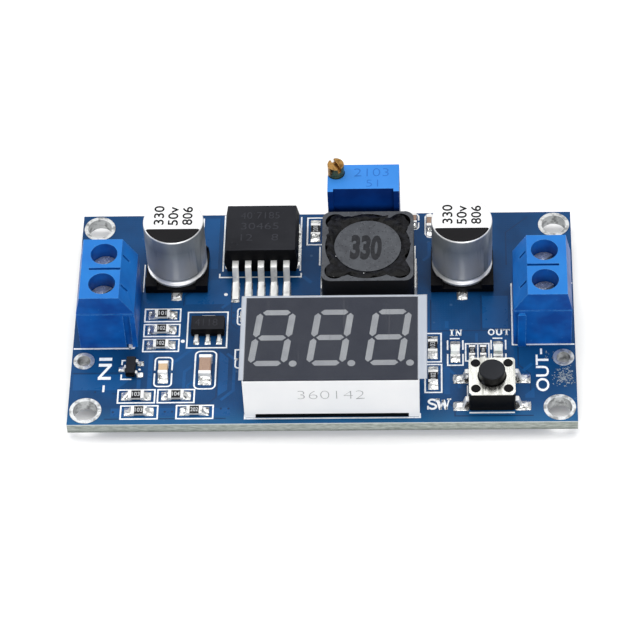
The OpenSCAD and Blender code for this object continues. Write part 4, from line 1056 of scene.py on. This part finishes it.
def adhesive_ring():
    """Glue round the inductor's top flange, run into the corner pockets and over the rim.

    In polar form with s from 0 at the flange to 1 outside, in mm:
    r = 4.38 + s (R(a) - 4.38), where R(a) = 5.55 + 1.55 lobe(a) + ripples, cut off at 5.85 from
    the middle lines, and lobe(a) = max(cos 4(a - 45 deg), 0)^1.3;
    z = top - 0.01 + 0.1 sin(pi s) (1 + waves) - 0.12 (1 - s)^4 - 0.02 s^8, and then 0.5 mm down
    at both rims.
    """
    low, high = in_mm(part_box("inductor_shield"))
    cx, cy = (low + high)[:2] / 2
    top, flange, edge, depth = high[2], 4.38, 5.85, 0.5
    around, across = 288, 18
    a = np.linspace(0, 2 * np.pi, around, endpoint=False)
    lobe = np.clip(np.cos(4 * (a - np.pi / 4)), 0, 1) ** 1.3
    ripple = (0.13 * np.sin(7 * a + 0.6) + 0.1 * np.sin(11 * a + 2.1)
              + 0.07 * np.sin(23 * a) + 0.05 * np.sin(41 * a))
    square = edge / np.maximum(abs(np.cos(a)), abs(np.sin(a)))
    reach = np.minimum(5.55 + 1.55 * lobe + ripple, square)
    s = np.linspace(0, 1, across)[:, None]
    r = flange + s * (reach - flange)
    waves = 0.5 * np.sin(9 * a + 3 * s) + 0.4 * np.sin(17 * a + 1.3 + 5 * s) + 0.3 * np.sin(5 * a)
    z = top - 0.01 + 0.1 * np.sin(np.pi * s) * (1 + waves) - 0.12 * (1 - s) ** 4 - 0.02 * s**8
    grid = np.stack([cx + r * np.cos(a), cy + r * np.sin(a), z + 0 * r], -1)
    inner, outer = grid[0].copy(), grid[-1].copy()
    inner[:, 2] = outer[:, 2] = top - depth
    pts = np.concatenate([[inner], grid, [outer]]).reshape(-1, 3)
    # The grid closes on itself both round the ring and through its underside
    index = np.pad(np.arange(len(pts)).reshape(-1, around), (0, 1), mode="wrap")
    piece("adhesive_ring", [(pts, quads(index))], FINISHES["adhesive"],
          replaces=["inductor_adhesive"], smooth=50)


def inductor_number():
    """Value printed in rough ink on the drum core's top."""
    low, high = in_mm(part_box("inductor_drum_core"))
    at = (low + high)[:2] / 2 + [-0.2, -0.3]
    text = lettering("330", 4.1, 4.3, at, -3, high[2] - 0.02, high[2] + 0.02, 0.05)
    piece("inductor_value", [text], ROUGH_INK)


# ---- Display ----


def display_marks():
    """Ink-jet number on the front of the case, and a painted shadow: a near-black patch of board
    under it.
    """
    low, high = in_mm(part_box("display_housing"))
    # Laid flat with y for height, then stood up on the front wall
    pts, faces = lettering("360142", 8.6, 1.7, ((low[0] + high[0]) / 2, 6.2), 0, 0, 0.03, -0.03)
    pts = np.column_stack([pts[:, 0], low[1] + 0.015 - pts[:, 2], pts[:, 1]])
    piece("display_number", [(pts, [f[::-1] for f in faces])], GREY_INK)
    # Painted shadow: a near-black sheet on the board under the display, where shade falls
    shade = box_outline(low[0] + 0.3, high[0] - 0.3, low[1] + 0.05, high[1] - 0.3)
    piece("painted_shadow_under_display", [prism(shade, SUNK, LEGEND_TOP)], UNDER_DISPLAY_SHADE)


def loose_film():
    """The protective film, flat on the face and slightly waved where it hangs over.

    z = low + 0.03 + h (0.03 + 0.03 sin(2.1 y) - 0.02 sin(1.7 x)), kept inside the film's own
    box, with low its underside and h the distance past the face in mm.
    """
    low, high = in_mm(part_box("display_film"))
    face_low, face_high = in_mm(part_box("display_face_mask"))
    x, y = np.meshgrid(np.linspace(low[0] + 0.2, high[0], 120), np.linspace(low[1], high[1], 70),
                       indexing="ij")
    over = np.maximum(np.maximum(face_low[0] - x, x - face_high[0]), y - face_high[1])
    over = np.maximum(over, 0)
    z = low[2] + 0.03 + over * (0.03 + 0.03 * np.sin(2.1 * y) - 0.02 * np.sin(1.7 * x))
    z = np.clip(z, low[2] + 0.01, high[2] - 0.002)
    pts = np.column_stack([x.ravel(), y.ravel(), z.ravel()])
    faces = quads(np.arange(x.size).reshape(x.shape))
    obj = piece("loose_film", [(pts, faces)], FINISHES["clear_film"],
                replaces=["display_film"], smooth=60)
    solid = obj.modifiers.new("sheet", "SOLIDIFY")
    solid.thickness = 0.02 * MM
    solid.offset = -1


# ---- Make it ----

dress_nodes()
piece("board_tracks", board_tracks() + board_pours(), TRACK)
piece("board_channels", board_channels(), GAP)
piece("vias", [disc(x, y, 0.16, SUNK, BOARD_TOP + 0.014, 14) for x, y in VIAS], GAP)
piece("board_legend", board_legend(), INK)
piece("flux_specks", flux_specks(), FLUX)
piece("solder_pools", solder_pools(), FINISHES["solder"], replaces=["solder_lands"],
      smooth=50)
can_print("input")
can_print("output")
chip_marks()
package_marks()
trimmer_marks()
adhesive_ring()
inductor_number()
display_marks()
loose_film()


# ---- Floor, light and camera ----


def white_floor():
    """A white sheet under the pin tails, in metres.

    It is white to the camera and in reflections, and gives less light back to the module.
    """
    reach, z = 4, -0.0012
    mesh = bpy.data.meshes.new("floor")
    pts = [(x, y, z) for x, y in box_outline(-reach, reach, -reach, reach)]
    mesh.from_pydata(pts, [], [(0, 1, 2, 3)])
    obj = thing("floor", mesh)
    mat = bpy.data.materials.new("white_sheet")
    mat.use_nodes = True
    tree = mat.node_tree
    tree.nodes.clear()
    white = add(mat, "BsdfDiffuse", {"Color": (0.97, 0.97, 0.97, 1)})
    glow = add(mat, "Emission", {"Color": (1, 1, 1, 1), "Strength": 0.1})
    seen = add(mat, "AddShader", {0: white.outputs[0], 1: glow.outputs[0]})
    lit = add(mat, "BsdfDiffuse", {"Color": (0.5, 0.5, 0.51, 1)})
    path = add(mat, "LightPath")
    bright = larger(mat, path.outputs["Is Camera Ray"], path.outputs["Is Glossy Ray"])
    share = add(mat, "MixShader", {0: bright, 1: lit.outputs[0], 2: seen.outputs[0]})
    out = add(mat, "OutputMaterial")
    tree.links.new(share.outputs[0], out.inputs["Surface"])
    mesh.materials.append(mat)


def sky():
    """White to the camera; for light, a studio dim in front and bright above and behind."""
    world = bpy.data.worlds.new("studio")
    bpy.context.scene.world = world
    world.use_nodes = True
    tree = world.node_tree
    tree.nodes.clear()
    way = add(world, "TexCoord").outputs["Generated"]
    up = level(world, axis(world, "Z", way), -0.1, 0.9, 0.25, 1.0)
    back = level(world, axis(world, "Y", way), -0.7, 0.5, 0.3, 1.0)
    white = (1, 1, 1, 1)
    power = product(world, product(world, up, back), 1.15)
    glow = add(world, "Background", {"Color": white, "Strength": power})
    plain = add(world, "Background", {"Color": white, "Strength": 1.0})
    camera_ray = add(world, "LightPath").outputs["Is Camera Ray"]
    both = add(world, "MixShader", {0: camera_ray, 1: glow.outputs[0], 2: plain.outputs[0]})
    out = add(world, "OutputWorld")
    tree.links.new(both.outputs[0], out.inputs["Surface"])


def lamp(name, at, aim, size, power):
    """A square area lamp that faces a point; places in metres."""
    data = bpy.data.lights.new(name, "AREA")
    data.shape = "RECTANGLE"
    data.size, data.size_y = size
    data.energy = power
    obj = thing(name, data)
    obj.location = at
    obj.rotation_euler = (Vector(aim) - Vector(at)).to_track_quat("-Z", "Y").to_euler()


def camera():
    """The photo's viewpoint, from a fit to the module's corners and holes."""
    az, el, roll = 0.0632105, 0.8743632, -0.0574654
    target, distance = Vector((-0.5256, -0.7010, 1.6)) * MM, 0.439939
    back = Vector((math.sin(az) * math.cos(el), -math.cos(az) * math.cos(el), math.sin(el)))
    right = Vector((math.cos(az), math.sin(az), 0))
    up = back.cross(right)
    x = math.cos(roll) * right + math.sin(roll) * up
    y = -math.sin(roll) * right + math.cos(roll) * up
    data = bpy.data.cameras.new("camera")
    data.sensor_width = 36
    data.lens = 187.24
    obj = thing("camera", data)
    turn = Matrix((x, y, back)).transposed().to_4x4()
    obj.matrix_world = Matrix.Translation(target + back * distance) @ turn
    bpy.context.scene.camera = obj


white_floor()
sky()
lamp("softbox_above", (0.02, 0.12, 0.55), (0, 0, 0), (0.5, 0.4), 1.05)
lamp("softbox_front", (0.12, -0.52, 0.3), (0, 0, 0), (0.6, 0.3), 2.3)
lamp("strip_left", (-0.45, 0.1, 0.3), (0, 0, 0), (0.12, 0.5), 0.7)
camera()
bpy.context.scene.view_settings.view_transform = "Standard"
